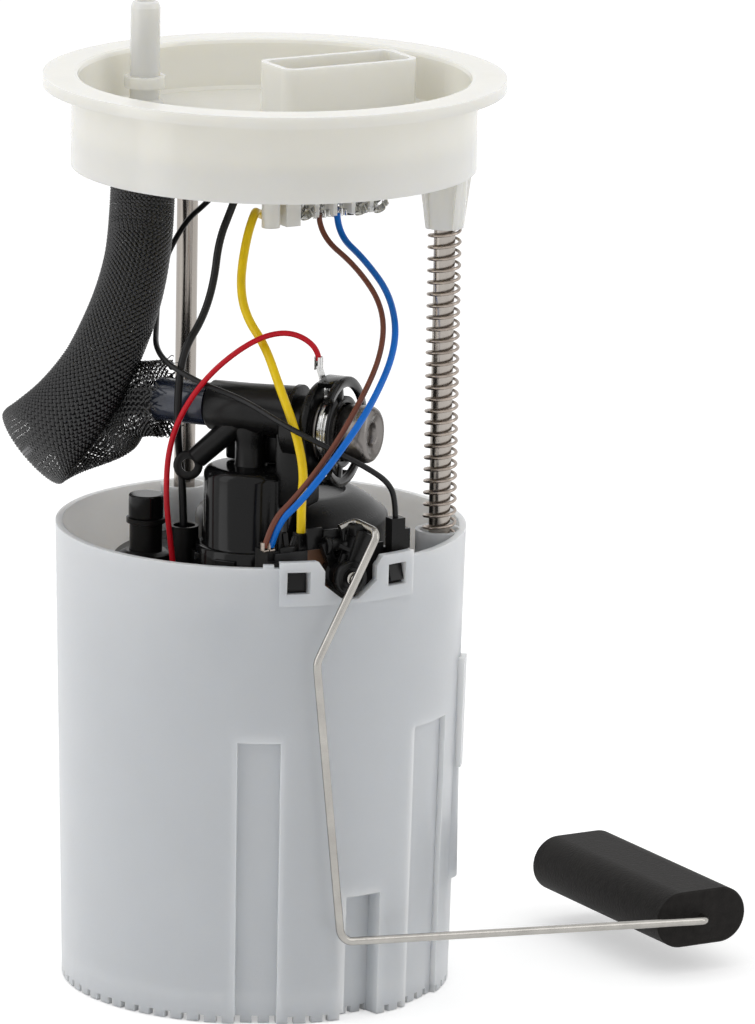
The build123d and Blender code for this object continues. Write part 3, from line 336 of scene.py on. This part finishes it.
# Pressure regulator and what holds it
# A drawn steel can with a dished end sits in the socket. A black windowed retainer is clipped
# over it, open at one side, where the bow of the spring clip shows. A bent terminal earths it.
can_steel = make_finish("can_steel", (0.20, 0.187, 0.178), 0.28, metal=1.0, spread=0.08, scale=200,
                        grain_scale=1500)
dress(rubber, "regulator_seal")
socket_depth = 22
can_place = socket_place @ at(0, 0, socket_depth)
can = add_piece("regulator_can", turned_body(
    [(0, -6.5), (5.9, -6.5), (5.9, -4.4), (4.6, -4.4), (4.6, -2.4), (5.9, -2.4), (5.9, 0.05), (9.2, 0.05),
     (9.4, 0.3), (9.4, 1.0), (9.2, 1.2), (7.4, 1.2), (7.4, 6.9), (7.8, 7.0), (8.0, 7.3), (8.0, 12.9),
     (7.85, 13.8), (7.4, 14.6), (6.7, 15.1), (6.0, 15.2), (5.2, 15.0), (4.4, 14.6), (3.7, 14.5), (3.3, 14.2),
     (3.0, 12.6), (1.9, 12.5), (1.7, 12.2), (1.7, 6.0), (0, 6.0)], can_place, steps=80), can_steel)
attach(can, "reservoir")
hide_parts("pressure_regulator")

open_side = 90 * near_side
clip = join_bodies("regulator_clip_strip", [
    turned_body([(7.5, 1.6), (9.2, 1.6), (9.2, 2.5), (7.5, 2.5)], can_place, 30, 300, 50),
    turned_body([(8.3, 2.9), (9.8, 2.9), (9.8, 3.3), (9.0, 3.6), (9.0, 4.5), (9.8, 4.8), (9.8, 5.2),
                 (8.3, 5.2)], can_place, open_side - 42, 84, 24)], plated_steel)
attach(clip, "reservoir")
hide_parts("regulator_clip")

ring_from, ring_sweep = open_side + 48, 264
retainer_bodies = [
    turned_body([(12.5, 5.2), (15.2, 4.8), (15.4, 5.0), (15.4, 6.1), (15.1, 6.4), (12.8, 6.4), (12.5, 6.1)],
                can_place, ring_from, ring_sweep, 72),
    turned_body([(8.1, 3.4), (9.8, 3.4), (10.0, 3.6), (10.0, 6.1), (9.7, 6.4), (8.4, 6.4), (8.1, 6.1)],
                can_place, ring_from, ring_sweep, 60),
    turned_body([(8.1, 5.3), (12.2, 5.3), (12.5, 5.6), (12.5, 6.1), (12.2, 6.4), (8.4, 6.4), (8.1, 6.1)],
                can_place, open_side - 58, 116, 28)]
for middle, half in ((-6, 27), (176, 32)):
    retainer_bodies.append(turned_body([(13.9, 0.1), (15.1, 0.1), (15.4, 0.4), (15.4, 5.4), (13.9, 5.4)],
                                       can_place, middle * near_side - half, 2 * half, 20))
for post in (12, -75, 168, -128):
    retainer_bodies.append(block_body((9.4, -1.3, 4.4), (13.2, 1.3, 6.3),
                                      turn_about(can_place, post * near_side), 0.4))
retainer = join_bodies("regulator_retainer_moulding", retainer_bodies, gloss_black)
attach(retainer, "reservoir")
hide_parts("regulator_retainer")


def bar_body(start, end, width, thickness, facing):
    """A flat strip between two points in mm, whose broad side faces a direction."""
    start, end = Vector(start), Vector(end)
    along = (end - start).normalized()
    across = along.cross(Vector(facing)).normalized()
    turn = Matrix((across, across.cross(along) * -1, along)).transposed()
    if turn.determinant() < 0:
        turn.col[1] = -turn.col[1]
    past_end = 0.2
    return block_body((-width / 2, -thickness / 2, -past_end),
                      (width / 2, thickness / 2, (end - start).length + past_end),
                      at(*start) @ turn.to_4x4(), 0.12)


faces_camera = (-0.5, -0.866, 0.2)
crimp_place = turn_about(at(3.8, -24.5, 177.6), -150)
terminal = join_bodies("ground_terminal_strip", [
    turned_body([(0.95, 0), (1.3, 0), (1.3, 3.6), (0.95, 3.6)], crimp_place, 20, 320, 24),
    bar_body((3.9, -24.5, 178.6), (4.9, -25.3, 174.6), 1.9, 0.5, faces_camera),
    bar_body((4.9, -25.3, 174.6), (5.5, -25.5, 170.3), 2.6, 0.5, faces_camera),
    bar_body((5.5, -25.5, 170.3), (5.3, -25.3, 168.3), 3.2, 0.5, faces_camera)], plated_steel)
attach(terminal, "reservoir")
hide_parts("ground_terminal")

# Level sender
# A black moulding in the pot's notch holds the ceramic card, glazed black at its ends. The lever
# is one black moulding: hub on the rivet, cross drum at the left and a saddle over the wire's hook.
card_ceramic = make_finish("card_ceramic", (0.20, 0.095, 0.050), 0.45, spread=0.15, scale=300)
bare_middle, bare_half = -0.0085, 0.0034
card_tree = card_ceramic.node_tree
card_place = card_tree.nodes.new("ShaderNodeTexCoord")
card_axes = card_tree.nodes.new("ShaderNodeSeparateXYZ")
bare_strip = card_tree.nodes.new("ShaderNodeMath")
bare_strip.operation = "COMPARE"
bare_strip.inputs[1].default_value = bare_middle
bare_strip.inputs[2].default_value = bare_half
glaze = card_tree.nodes.new("ShaderNodeMix")
glaze.data_type = "RGBA"
glaze.inputs["A"].default_value = (0.010, 0.010, 0.011, 1)
card_shader = card_tree.nodes["Principled BSDF"]
card_colour = card_shader.inputs["Base Color"].links[0].from_socket
card_tree.links.new(card_place.outputs["Object"], card_axes.inputs["Vector"])
card_tree.links.new(card_axes.outputs["X"], bare_strip.inputs[0])
card_tree.links.new(bare_strip.outputs["Value"], glaze.inputs["Factor"])
card_tree.links.new(card_colour, glaze.inputs["B"])
card_tree.links.new(glaze.outputs["Result"], card_shader.inputs["Base Color"])
bright_wire = make_finish("float_wire_steel", (0.40, 0.385, 0.36), 0.22, metal=1.0, spread=0.1,
                          rough_spread=0.08, scale=150)
dress(black_plastic, "sender_body", "sender_connectors")
dress(card_ceramic, "resistor_card")
dress(bright_wire, "float_wire")
dress(plated_steel, "wiper_fingers")

to_front = Matrix.Rotation(math.pi / 2, 4, "X")
to_right = Matrix.Rotation(math.pi / 2, 4, "Y")
as_measured = at(0, 0, 0)
pivot_x, pivot_height = -3.5, 126.5
lever = join_bodies("lever_moulding", [
    turned_body([(1.6, 0), (4.4, 0), (4.6, 0.3), (4.6, 2.8), (3.7, 3.2), (3.7, 6.2), (4.5, 6.7), (4.8, 7.2),
                 (4.8, 9.3), (4.4, 9.8), (3.2, 9.9), (2.9, 9.5), (1.6, 9.5), (1.6, 0)],
                at(pivot_x, -48.1, pivot_height) @ to_front),
    turned_body([(0, 0.4), (1.8, 0.3), (2.1, 0), (2.35, 0), (2.6, 0.3), (2.6, 1.2), (2.35, 1.5), (2.0, 1.8),
                 (2.0, 5.9), (1.7, 6.3), (0, 6.3)], at(-8.4, -50.6, 134.5) @ to_right),
    block_body((-1.6, -55.6, 137.0), (2.9, -50.9, 140.6), as_measured, 0.7),
    block_body((-3.6, -52.4, 135.6), (-2.4, -50.4, 139.0), as_measured, 0.4),
    block_body((-12.8, -49.0, 133.4), (-8.0, -48.2, 139.4), as_measured, 0.2),
    block_body((-8.0, -49.7, 131.4), (1.6, -48.2, 138.6), as_measured, 0.4),
    bar_body((-3.3, -56.6, 127.5), (0.8, -56.6, 138.4), 4.2, 1.5, (0, -1, 0)),
    bar_body((-3.3, -51.4, 127.5), (0.4, -51.4, 138.4), 4.6, 1.5, (0, -1, 0)),
    bar_body((-5.6, -50.2, 135.2), (0.9, -57.0, 131.6), 2.2, 1.1, (0.3, 0.2, 1)),
    bar_body((-8.4, -50.4, 135.4), (-5.2, -50.4, 127.4), 2.6, 2.4, (0, -1, 0)),
    bar_body((-6.6, -55.0, 126.2), (-4.4, -55.0, 132.6), 1.8, 1.0, (0, -1, 0))], black_plastic)
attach(lever, "float_arm")
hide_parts("lever_holder")

rivet = add_piece("pivot_rivet", turned_body(
    [(0, 0), (1.5, 0), (1.5, 13.8), (1.9, 13.84), (1.9, 14.2), (1.6, 14.5), (0.9, 14.5), (0.75, 14.1),
     (0, 14.05)], at(pivot_x, -44.2, pivot_height) @ to_front, steps=40), bright_wire)
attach(rivet, "reservoir")
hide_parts("pivot_pin")

tab_bodies = []
for x in (-24.1, -22.2):
    tab_bodies.append(block_body((x - 0.8, -46.4, 133.55), (x + 0.8, -44.0, 134.1), as_measured, 0.1))
    tab_bodies.append(turned_body([(0.95, 0), (1.2, 0), (1.2, 2.2), (0.95, 2.2)], at(x, -45.2, 133.9),
                                  300, 300, 20))
tabs = join_bodies("sender_terminal_tabs", tab_bodies, spring_steel)
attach(tabs, "reservoir")
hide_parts("sender_terminals")

latches = join_bodies("sender_latch_posts", [
    block_body((-20.5, -46.7, 133.4), (-19.4, -45.2, 138.9), as_measured, 0.25),
    bar_body((-17.6, -46.0, 132.6), (-18.6, -46.2, 138.2), 1.5, 1.6, (0, -1, 0)),
    bar_body((-16.2, -46.0, 133.6), (-15.2, -46.2, 136.8), 1.1, 1.4, (0, -1, 0)),
    block_body((-20.2, -47.4, 131.6), (-15.4, -45.0, 134.6), as_measured, 0.5)], black_plastic)
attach(latches, "reservoir")

# Level float
# A block of closed-cell nitrile foam, matt black with a faint brown cast, that turns on the
# wire's bent end.
float_foam = make_finish("float_foam", (0.016, 0.0145, 0.0135), 0.60, spread=0.25, scale=350, grain=0.45,
                         grain_scale=1500, shine=0.12)
dress(float_foam, "level_float")

# Flange cup
# One moulding in natural acetal: warm white, cloudy enough that light shows through thin walls,
# and shinier than the pot.
flange_plastic = make_finish("flange_plastic", (0.84, 0.825, 0.765), 0.20, spread=0.025, scale=30, grain=0.04,
                             grain_scale=700, coat=0.3, cloudy=0.75, cloud_tint=(1.0, 0.93, 0.75))
dress(flange_plastic, "flange_cup")
dress(plated_steel, "connector_pins")
crimp_bodies = []
for x, lean in ((16.2, 42), (22.0, 4), (27.8, -6), (33.6, 38), (39.4, 46)):
    crimp = at(x, 8.7, 217.6) @ Matrix.Rotation(math.radians(180 - lean), 4, "X")
    crimp_bodies += [
        turned_body([(1.25, 0.2), (1.6, 0.2), (1.75, 2.2), (1.4, 2.2)], crimp, 128, 284, 26),
        turned_body([(1.45, 3.0), (1.8, 2.8), (2.0, 5.0), (1.65, 5.2)], crimp, 140, 262, 26),
        block_body((-1.2, -1.7, -0.6), (1.2, -1.3, 4.6), crimp, 0.1),
        block_body((-1.9, 0.6, 3.0), (-1.5, 2.4, 5.0), crimp @ Matrix.Rotation(0.5, 4, "Z"), 0.12),
        block_body((1.4, 0.8, 2.8), (1.8, 2.6, 4.8), crimp @ Matrix.Rotation(-0.35, 4, "Z"), 0.12)]
crimps = join_bodies("crimp_barrels", crimp_bodies, plated_steel)
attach(crimps, "flange")
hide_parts("crimp_terminals")

# Guide rods
# Ground and polished stainless bars, with a snap ring on each one's end inside the pot.
dress(turned_steel, "guide_rod_right", "guide_rod_left")
dress(spring_steel, "rod_stop_clips")

# Coil spring
# Round spring wire wound over the right rod, up from the land in the pot's guide.
spring_at = Vector((0.040, -0.030, 0.0))
spring_mean_radius = 0.0043
spring_wire_radius = 0.00045
spring_turns = 31
steps_per_turn = 36
spring_low, spring_high = (corner.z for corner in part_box("coil_spring"))
spring_climb = spring_high - spring_low - 2 * spring_wire_radius
coil = bmesh.new()
start_ring = bmesh.ops.create_circle(coil, cap_ends=True, segments=10, radius=spring_wire_radius)["verts"]
bmesh.ops.rotate(coil, verts=start_ring, matrix=Matrix.Rotation(math.pi / 2, 3, "X"))
bmesh.ops.translate(coil, verts=start_ring,
                    vec=spring_at + Vector((spring_mean_radius, 0, spring_low + spring_wire_radius)))
bmesh.ops.spin(coil, geom=coil.verts[:] + coil.edges[:] + coil.faces[:], cent=spring_at, axis=(0, 0, 1),
               angle=2 * math.pi * spring_turns, steps=spring_turns * steps_per_turn,
               dvec=(0, 0, spring_climb / (spring_turns * steps_per_turn)))
bmesh.ops.recalc_face_normals(coil, faces=coil.faces[:])
spring = add_piece("coil_spring_wire", coil, spring_steel)
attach(spring, "reservoir")
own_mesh(spring)
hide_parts("coil_spring")

# Wires
# Stranded copper in a smooth, slightly shiny insulation. Five run from the flange's terminals.
# The red one joins the pump to the regulator's earth terminal.


def route_curve(name, route, thickness=0.0, detail=14):
    """The route's smooth line as a NURBS curve object, bare or with a round skin."""
    data = bpy.data.curves.new(name, "CURVE")
    data.dimensions = "3D"
    data.resolution_u = detail
    data.bevel_depth = thickness
    data.bevel_resolution = 5
    data.use_fill_caps = thickness > 0
    spline = data.splines.new("NURBS")
    spline.points.add(len(route) - 1)
    for point, spot in zip(spline.points, route):
        point.co = (spot[0] / 1000, spot[1] / 1000, spot[2] / 1000, 1.0)
    spline.order_u = 3
    spline.use_endpoint_u = True
    holder = bpy.data.objects.new(name, data)
    bpy.context.scene.collection.objects.link(holder)
    return holder


def read_line(name, route):
    """The points along the route's smooth line, and its length."""
    holder = route_curve(name + "_line", route)
    bpy.context.view_layer.update()
    line = [v.co.copy() for v in bpy.data.meshes.new_from_object(holder).vertices]
    bpy.data.objects.remove(holder)
    return line, sum((b - a).length for a, b in zip(line, line[1:]))


def cord_skin(name, route, radius, finish, detail=14):
    """A round skin along the route as a mesh."""
    holder = route_curve(name + "_skin", route, radius, detail)
    bpy.context.view_layer.update()
    data = bpy.data.meshes.new_from_object(holder)
    bpy.data.objects.remove(holder)
    data.name = name
    data.materials.clear()
    data.materials.append(finish)
    data.shade_smooth()
    piece = bpy.data.objects.new(name, data)
    bpy.context.scene.collection.objects.link(piece)
    return piece


# Colour, radius, two heights that are set for the wires from the flange but not read, and its route, in mm.
wires = {
    "wire_yellow": ((0.95, 0.64, 0.006), 1.25, (150, 206), [
        (16.2, 9.4, 214.2), (16.6, 15.6, 211.6), (12.8, 20.2, 211.2), (7.2, 17.6, 213.6), (3.4, 11.8, 215.4),
        (-2.6, 6, 209), (-7.4, 0.6, 198), (-9.0, -5.8, 190.2), (-7.5, -14.5, 183.3), (-8.4, -24, 174.3),
        (-7.9, -32.9, 163.2), (-8.2, -38.4, 153), (-11.2, -42.6, 146.6), (-12.6, -45, 141),
        (-12.6, -45, 134.6)]),
    "wire_brown": ((0.17, 0.052, 0.030), 0.8, (150, 206), [
        (22, 8.6, 213.4), (22.1, 8.2, 207.6), (24, -9.8, 201.8), (23.6, -25.7, 193.3), (15.3, -39.4, 183.5),
        (2.2, -48.4, 171.1), (-7.6, -50, 159), (-17.4, -49.2, 148.2), (-23.2, -47.6, 142.4),
        (-24.1, -45.4, 134.8)]),
    "wire_blue": ((0.0, 0.15, 0.62), 0.95, (150, 206), [
        (27.8, 8.6, 213.4), (27.9, 8.2, 207.4), (27.8, -7.4, 203.1), (27.4, -23.3, 195.6),
        (20.6, -38.6, 185.5), (5.8, -50.8, 172.6), (-6.2, -52.4, 159.4), (-16.6, -51.2, 147.6),
        (-21.6, -47.8, 141.8), (-22.2, -45.4, 134.8)]),
    "wire_black_thick": ((0.007, 0.007, 0.0075), 1.1, (160, 206), [
        (39.4, 9.4, 214.2), (39.2, 13.4, 212.2), (35.4, 17.6, 211.4), (27, 18, 213), (15, 17.4, 224),
        (6.6, 14, 231.6), (0.4, 10.9, 229), (-4.3, 11.1, 217.4), (-8.8, 10.3, 208.6), (-11.8, 7.4, 197.4),
        (-16.3, 5.3, 188.1), (-23.1, 3.3, 180.6), (-25.8, 1.6, 171.5), (-25.6, 2.3, 160.5), (-22, 7.9, 151),
        (-20.4, 8.2, 140.5), (-20.6, 6.8, 121.5)]),
    "wire_black_thin": ((0.007, 0.007, 0.0075), 0.8, (168, 206), [
        (33.6, 9.4, 214.2), (33.5, 13.8, 212.3), (31, 20, 211.8), (20, 26, 215), (11, 24.8, 222),
        (4.4, 22.4, 227.2), (0.2, 22.2, 223.2), (-3.1, 26.3, 216.3), (-5.6, 36.4, 208.6), (-10.4, 41.6, 194),
        (-18.6, 28, 183.2), (-29.4, 8.6, 178.2), (-24.4, -5, 173.2), (-15.4, -17.4, 169.4),
        (-11.6, -32.4, 165.1), (-3.7, -44.6, 160), (5.7, -48.6, 154.8),
        (12.4, -50.2, 149.8), (14.3, -50, 143.6), (14.3, -50, 137.2)]),
    "wire_red": ((0.60, 0.004, 0.016), 0.8, None, [
        (3.8, -24.5, 180.2), (3.6, -24.4, 183.6), (-1.3, -20.6, 187.6), (-7.2, -16.5, 187.2),
        (-15, -13.8, 183.2), (-23, -9.9, 175.5), (-28.2, -4.8, 164.8), (-29.8, -0.4, 153.6),
        (-30.6, -0.5, 141.9), (-30.1, -1.7, 130.8), (-28.8, -2.4, 119.3)]),
}
for wire_name, (colour, wire_radius, bend, route) in wires.items():
    insulation = make_finish(wire_name, colour, 0.30, spread=0.09, scale=180, grain=0.06, shine=0.25)
    line, length = read_line(wire_name, route)
    wire = cord_skin(wire_name + "_insulation", route, wire_radius / 1000, insulation)
    if bend:
        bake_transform(wire)
    else:
        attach(wire, "reservoir")
    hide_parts(wire_name)

# Fuel hose
# Smooth dark nylon hose from the flange to the coupling on the manifold, inside the sleeve.
hose_route = [(-16, 41, 239), (-16, 41, 213), (-25.5, 28.3, 194.5), (-38.6, 21.3, 175.5),
              (-46.9, 24.5, 161.5), (-51.1, 34.7, 151.5), (-46.1, 50.7, 144.5), (-34.3, 57, 146),
              (-22.5, 46, 151.5), (-30.67, 22.65, 164.3), (-15.38, 2.36, 164.3)]
hose_nylon = make_finish("hose_black", (0.055, 0.055, 0.06), 0.40, spread=0.15, scale=150)
hose_line, hose_length = read_line("fuel_hose", hose_route)
hose = cord_skin("fuel_hose_nylon", hose_route, 0.0039, hose_nylon)
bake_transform(hose)
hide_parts("fuel_hose")

# Braided sleeve
# Flat polyester filaments cross over and under each other round the hose. The sleeve is round
# below the flange, folded flat at its crease, and open and frayed at its lower end.
sleeve_route = hose_route[:-1] + [(-22.25, 11.48, 164.3)]
filaments_each_way = 40
filament_widths = (0.00086, 0.00056)
filament_crown = 0.00022
weave_height = 0.00030
winding_turns = 3.15
rows_per_crossing = 3
crease_at, opens_at = 0.58, 0.62
fray_from = 0.965
fray_sideways, fray_lift, most_rows_cut = 0.16, 0.0022, 16
section_marks = [0.0, 0.22, 0.40, 0.50, 0.58, 0.66, 0.76, 0.88, 1.0]
half_widths = [8.7, 8.8, 9.8, 11.4, 12.4, 12.4, 11.4, 10.4, 10.4]
half_depths = [8.6, 8.4, 7.0, 5.0, 3.6, 3.6, 5.4, 6.8, 7.6]
braid_polyester = make_finish("braid_black", (0.007, 0.007, 0.0076), 0.22, spread=0.3, rough_spread=0.1,
                              scale=400, shine=0.5)
sleeve_line, sleeve_length = read_line("braided_sleeve", sleeve_route)


def flat_direction(share):
    """The way the sleeve lies flat: it turns from its round top to the crease and on to the open end."""
    facing = Matrix.Rotation(camera_turn, 3, "Z")
    top, crease, end = (facing @ Vector(v) for v in ((0.95, 0, -0.30), (0.63, 0, -0.77), (0.16, 0, -0.98)))
    before = min(1, share / crease_at)
    after = min(1, max(0, (share - opens_at) / 0.38))
    return top.lerp(crease, before ** 2 * (3 - 2 * before)).lerp(end, after ** 2 * (3 - 2 * after))


def braid(name, hand):
    """All the filaments that wind one way, as crowned flat ribbons."""
    picks = random.Random(7 + hand)
    marks = np.concatenate([[0], np.cumsum([(b - a).length for a, b in zip(sleeve_line, sleeve_line[1:])])])
    steps = int(filaments_each_way * winding_turns * 2 * rows_per_crossing)
    share = np.linspace(0, 1, steps + 1)
    table = np.array([tuple(p) for p in sleeve_line])
    centre = np.stack([np.interp(share * marks[-1], marks, table[:, k]) for k in range(3)], 1)

    def unit(vectors):
        return vectors / np.linalg.norm(vectors, axis=1)[:, None]

    along = unit(np.gradient(centre, axis=0))
    wide = np.array([tuple(flat_direction(s)) for s in share])
    wide = unit(wide - along * np.sum(wide * along, axis=1)[:, None])
    deep = np.cross(along, wide)
    half_wide = np.interp(share, section_marks, half_widths) / 1000
    half_deep = np.interp(share, section_marks, half_depths) / 1000
    half_width = np.interp(share, [0.55, 0.70], filament_widths)[:, None] / 2
    over_under = hand * weave_height * np.cos(2 * math.pi * winding_turns * share * filaments_each_way)
    fray = np.clip((share - fray_from) / 0.035, 0, 1) ** 1.5
    points, quads = [], []
    for i in range(filaments_each_way):
        turn = 2 * math.pi * (i / filaments_each_way + hand * winding_turns * share)
        turn = turn + picks.uniform(-fray_sideways, fray_sideways) * fray
        lift = over_under + picks.uniform(-0.4, 1.0) * fray_lift * fray
        x, y = np.cos(turn)[:, None], np.sin(turn)[:, None]
        out = unit(x * wide / half_wide[:, None] + y * deep / half_deep[:, None])
        middle = centre + x * half_wide[:, None] * wide + y * half_deep[:, None] * deep + out * lift[:, None]
        side = unit(np.cross(out, unit(np.gradient(middle, axis=0)))) * half_width
        low = out * filament_crown / 2
        rows = np.stack([middle + side - low, middle + low, middle - side - low], 1)
        rows = rows[:len(rows) - picks.randint(0, most_rows_cut)]
        first = len(points)
        points.extend(rows.reshape(-1, 3).tolist())
        for k in range(first, first + 3 * (len(rows) - 1), 3):
            quads += [(k, k + 1, k + 4, k + 3), (k + 1, k + 2, k + 5, k + 4)]
    data = bpy.data.meshes.new(name)
    data.from_pydata(points, [], quads)
    data.shade_smooth()
    data.materials.append(braid_polyester)
    piece = bpy.data.objects.new(name, data)
    bpy.context.scene.collection.objects.link(piece)
    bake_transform(piece)
    return piece


sleeve_right = braid("braided_sleeve_right_hand", 1)
sleeve_left = braid("braided_sleeve_left_hand", -1)
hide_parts("braided_sleeve")

# Light, floor and background
# Soft lamps at the left, at the right and above. The floor keeps the object's shadow. The world is
# weaker on the camera's side, while the camera, metal and clear pieces see both as plain white.
scene = bpy.context.scene
scene.view_settings.view_transform = "Standard"
lamps = [("lamp_window", (-0.79, 0.11, 0.5), 1.5, (0.40, 1.0)),
         ("lamp_right", (0.75, -0.62, 0.55), 1.2, (0.35, 0.9)),
         ("lamp_top", (0.0, 0.15, 1.5), 3.0, (1.3, 1.3))]
lamp_aim = Vector((0, 0, 0.15))
for name, spot, power, size in lamps:
    lamp = bpy.data.lights.new(name, "AREA")
    lamp.shape = "RECTANGLE"
    lamp.size, lamp.size_y = size
    lamp.energy = power
    light = bpy.data.objects.new(name, lamp)
    scene.collection.objects.link(light)
    light.location = spot
    light.rotation_euler = (lamp_aim - Vector(spot)).to_track_quat("-Z", "Y").to_euler()

world = bpy.data.worlds.new("world")
scene.world = world
world.use_nodes = True
sky = world.node_tree
sky.nodes["Background"].inputs["Color"].default_value = (1, 1, 1, 1)
sky_way = sky.nodes.new("ShaderNodeTexCoord")
towards_camera = sky.nodes.new("ShaderNodeVectorMath")
towards_camera.operation = "DOT_PRODUCT"
towards_camera.inputs[1].default_value = (-0.5, -0.866, 0.0)
sky_level = sky.nodes.new("ShaderNodeMapRange")
sky_level.interpolation_type = "SMOOTHSTEP"
sky_level.inputs["From Min"].default_value = 0.15
sky_level.inputs["From Max"].default_value = 0.85
sky_level.inputs["To Min"].default_value = 0.78
sky_level.inputs["To Max"].default_value = 0.46
sky.links.new(sky_way.outputs["Generated"], towards_camera.inputs[0])
sky.links.new(towards_camera.outputs["Value"], sky_level.inputs["Value"])
sky.links.new(sky_level.outputs["Result"], sky.nodes["Background"].inputs["Strength"])
seen_sky = sky.nodes.new("ShaderNodeBackground")
seen_sky.inputs["Strength"].default_value = 1.0
seen_sky.inputs["Color"].default_value = (1, 1, 1, 1)


def seen_rays(tree):
    """1 on the rays that see the background: the camera's, and those in metal and through clear pieces."""
    rays = tree.nodes.new("ShaderNodeLightPath")
    either = rays.outputs["Is Camera Ray"]
    for kind in ("Is Glossy Ray", "Is Transmission Ray"):
        both = tree.nodes.new("ShaderNodeMath")
        both.operation = "MAXIMUM"
        tree.links.new(either, both.inputs[0])
        tree.links.new(rays.outputs[kind], both.inputs[1])
        either = both.outputs["Value"]
    return either


sky_choice = sky.nodes.new("ShaderNodeMixShader")
sky.links.new(seen_rays(sky), sky_choice.inputs["Fac"])
sky.links.new(sky.nodes["Background"].outputs["Background"], sky_choice.inputs[1])
sky.links.new(seen_sky.outputs["Background"], sky_choice.inputs[2])
sky.links.new(sky_choice.outputs["Shader"], sky.nodes["World Output"].inputs["Surface"])

floor_size, floor_drop = 9.0, 0.0002
ground = bmesh.new()
bmesh.ops.create_grid(ground, x_segments=1, y_segments=1, size=floor_size)
bmesh.ops.translate(ground, verts=ground.verts[:], vec=(0, 0, -floor_drop))
floor_paint = bpy.data.materials.new("floor_paint")
floor_paint.use_nodes = True
paint = floor_paint.node_tree
matt = paint.nodes["Principled BSDF"]
matt.inputs["Base Color"].default_value = (0.82, 0.82, 0.82, 1)
matt.inputs["Roughness"].default_value = 0.9
matt.inputs["Specular IOR Level"].default_value = 0.0
glow = paint.nodes.new("ShaderNodeEmission")
glow.inputs["Strength"].default_value = 0.42
no_glow = paint.nodes.new("ShaderNodeEmission")
no_glow.inputs["Strength"].default_value = 0.0
floor_choice = paint.nodes.new("ShaderNodeMixShader")
floor_sum = paint.nodes.new("ShaderNodeAddShader")
paint.links.new(seen_rays(paint), floor_choice.inputs["Fac"])
paint.links.new(no_glow.outputs["Emission"], floor_choice.inputs[1])
paint.links.new(glow.outputs["Emission"], floor_choice.inputs[2])
paint.links.new(matt.outputs["BSDF"], floor_sum.inputs[0])
paint.links.new(floor_choice.outputs["Shader"], floor_sum.inputs[1])
paint.links.new(floor_sum.outputs["Shader"], paint.nodes["Material Output"].inputs["Surface"])
add_piece("floor", ground, floor_paint)
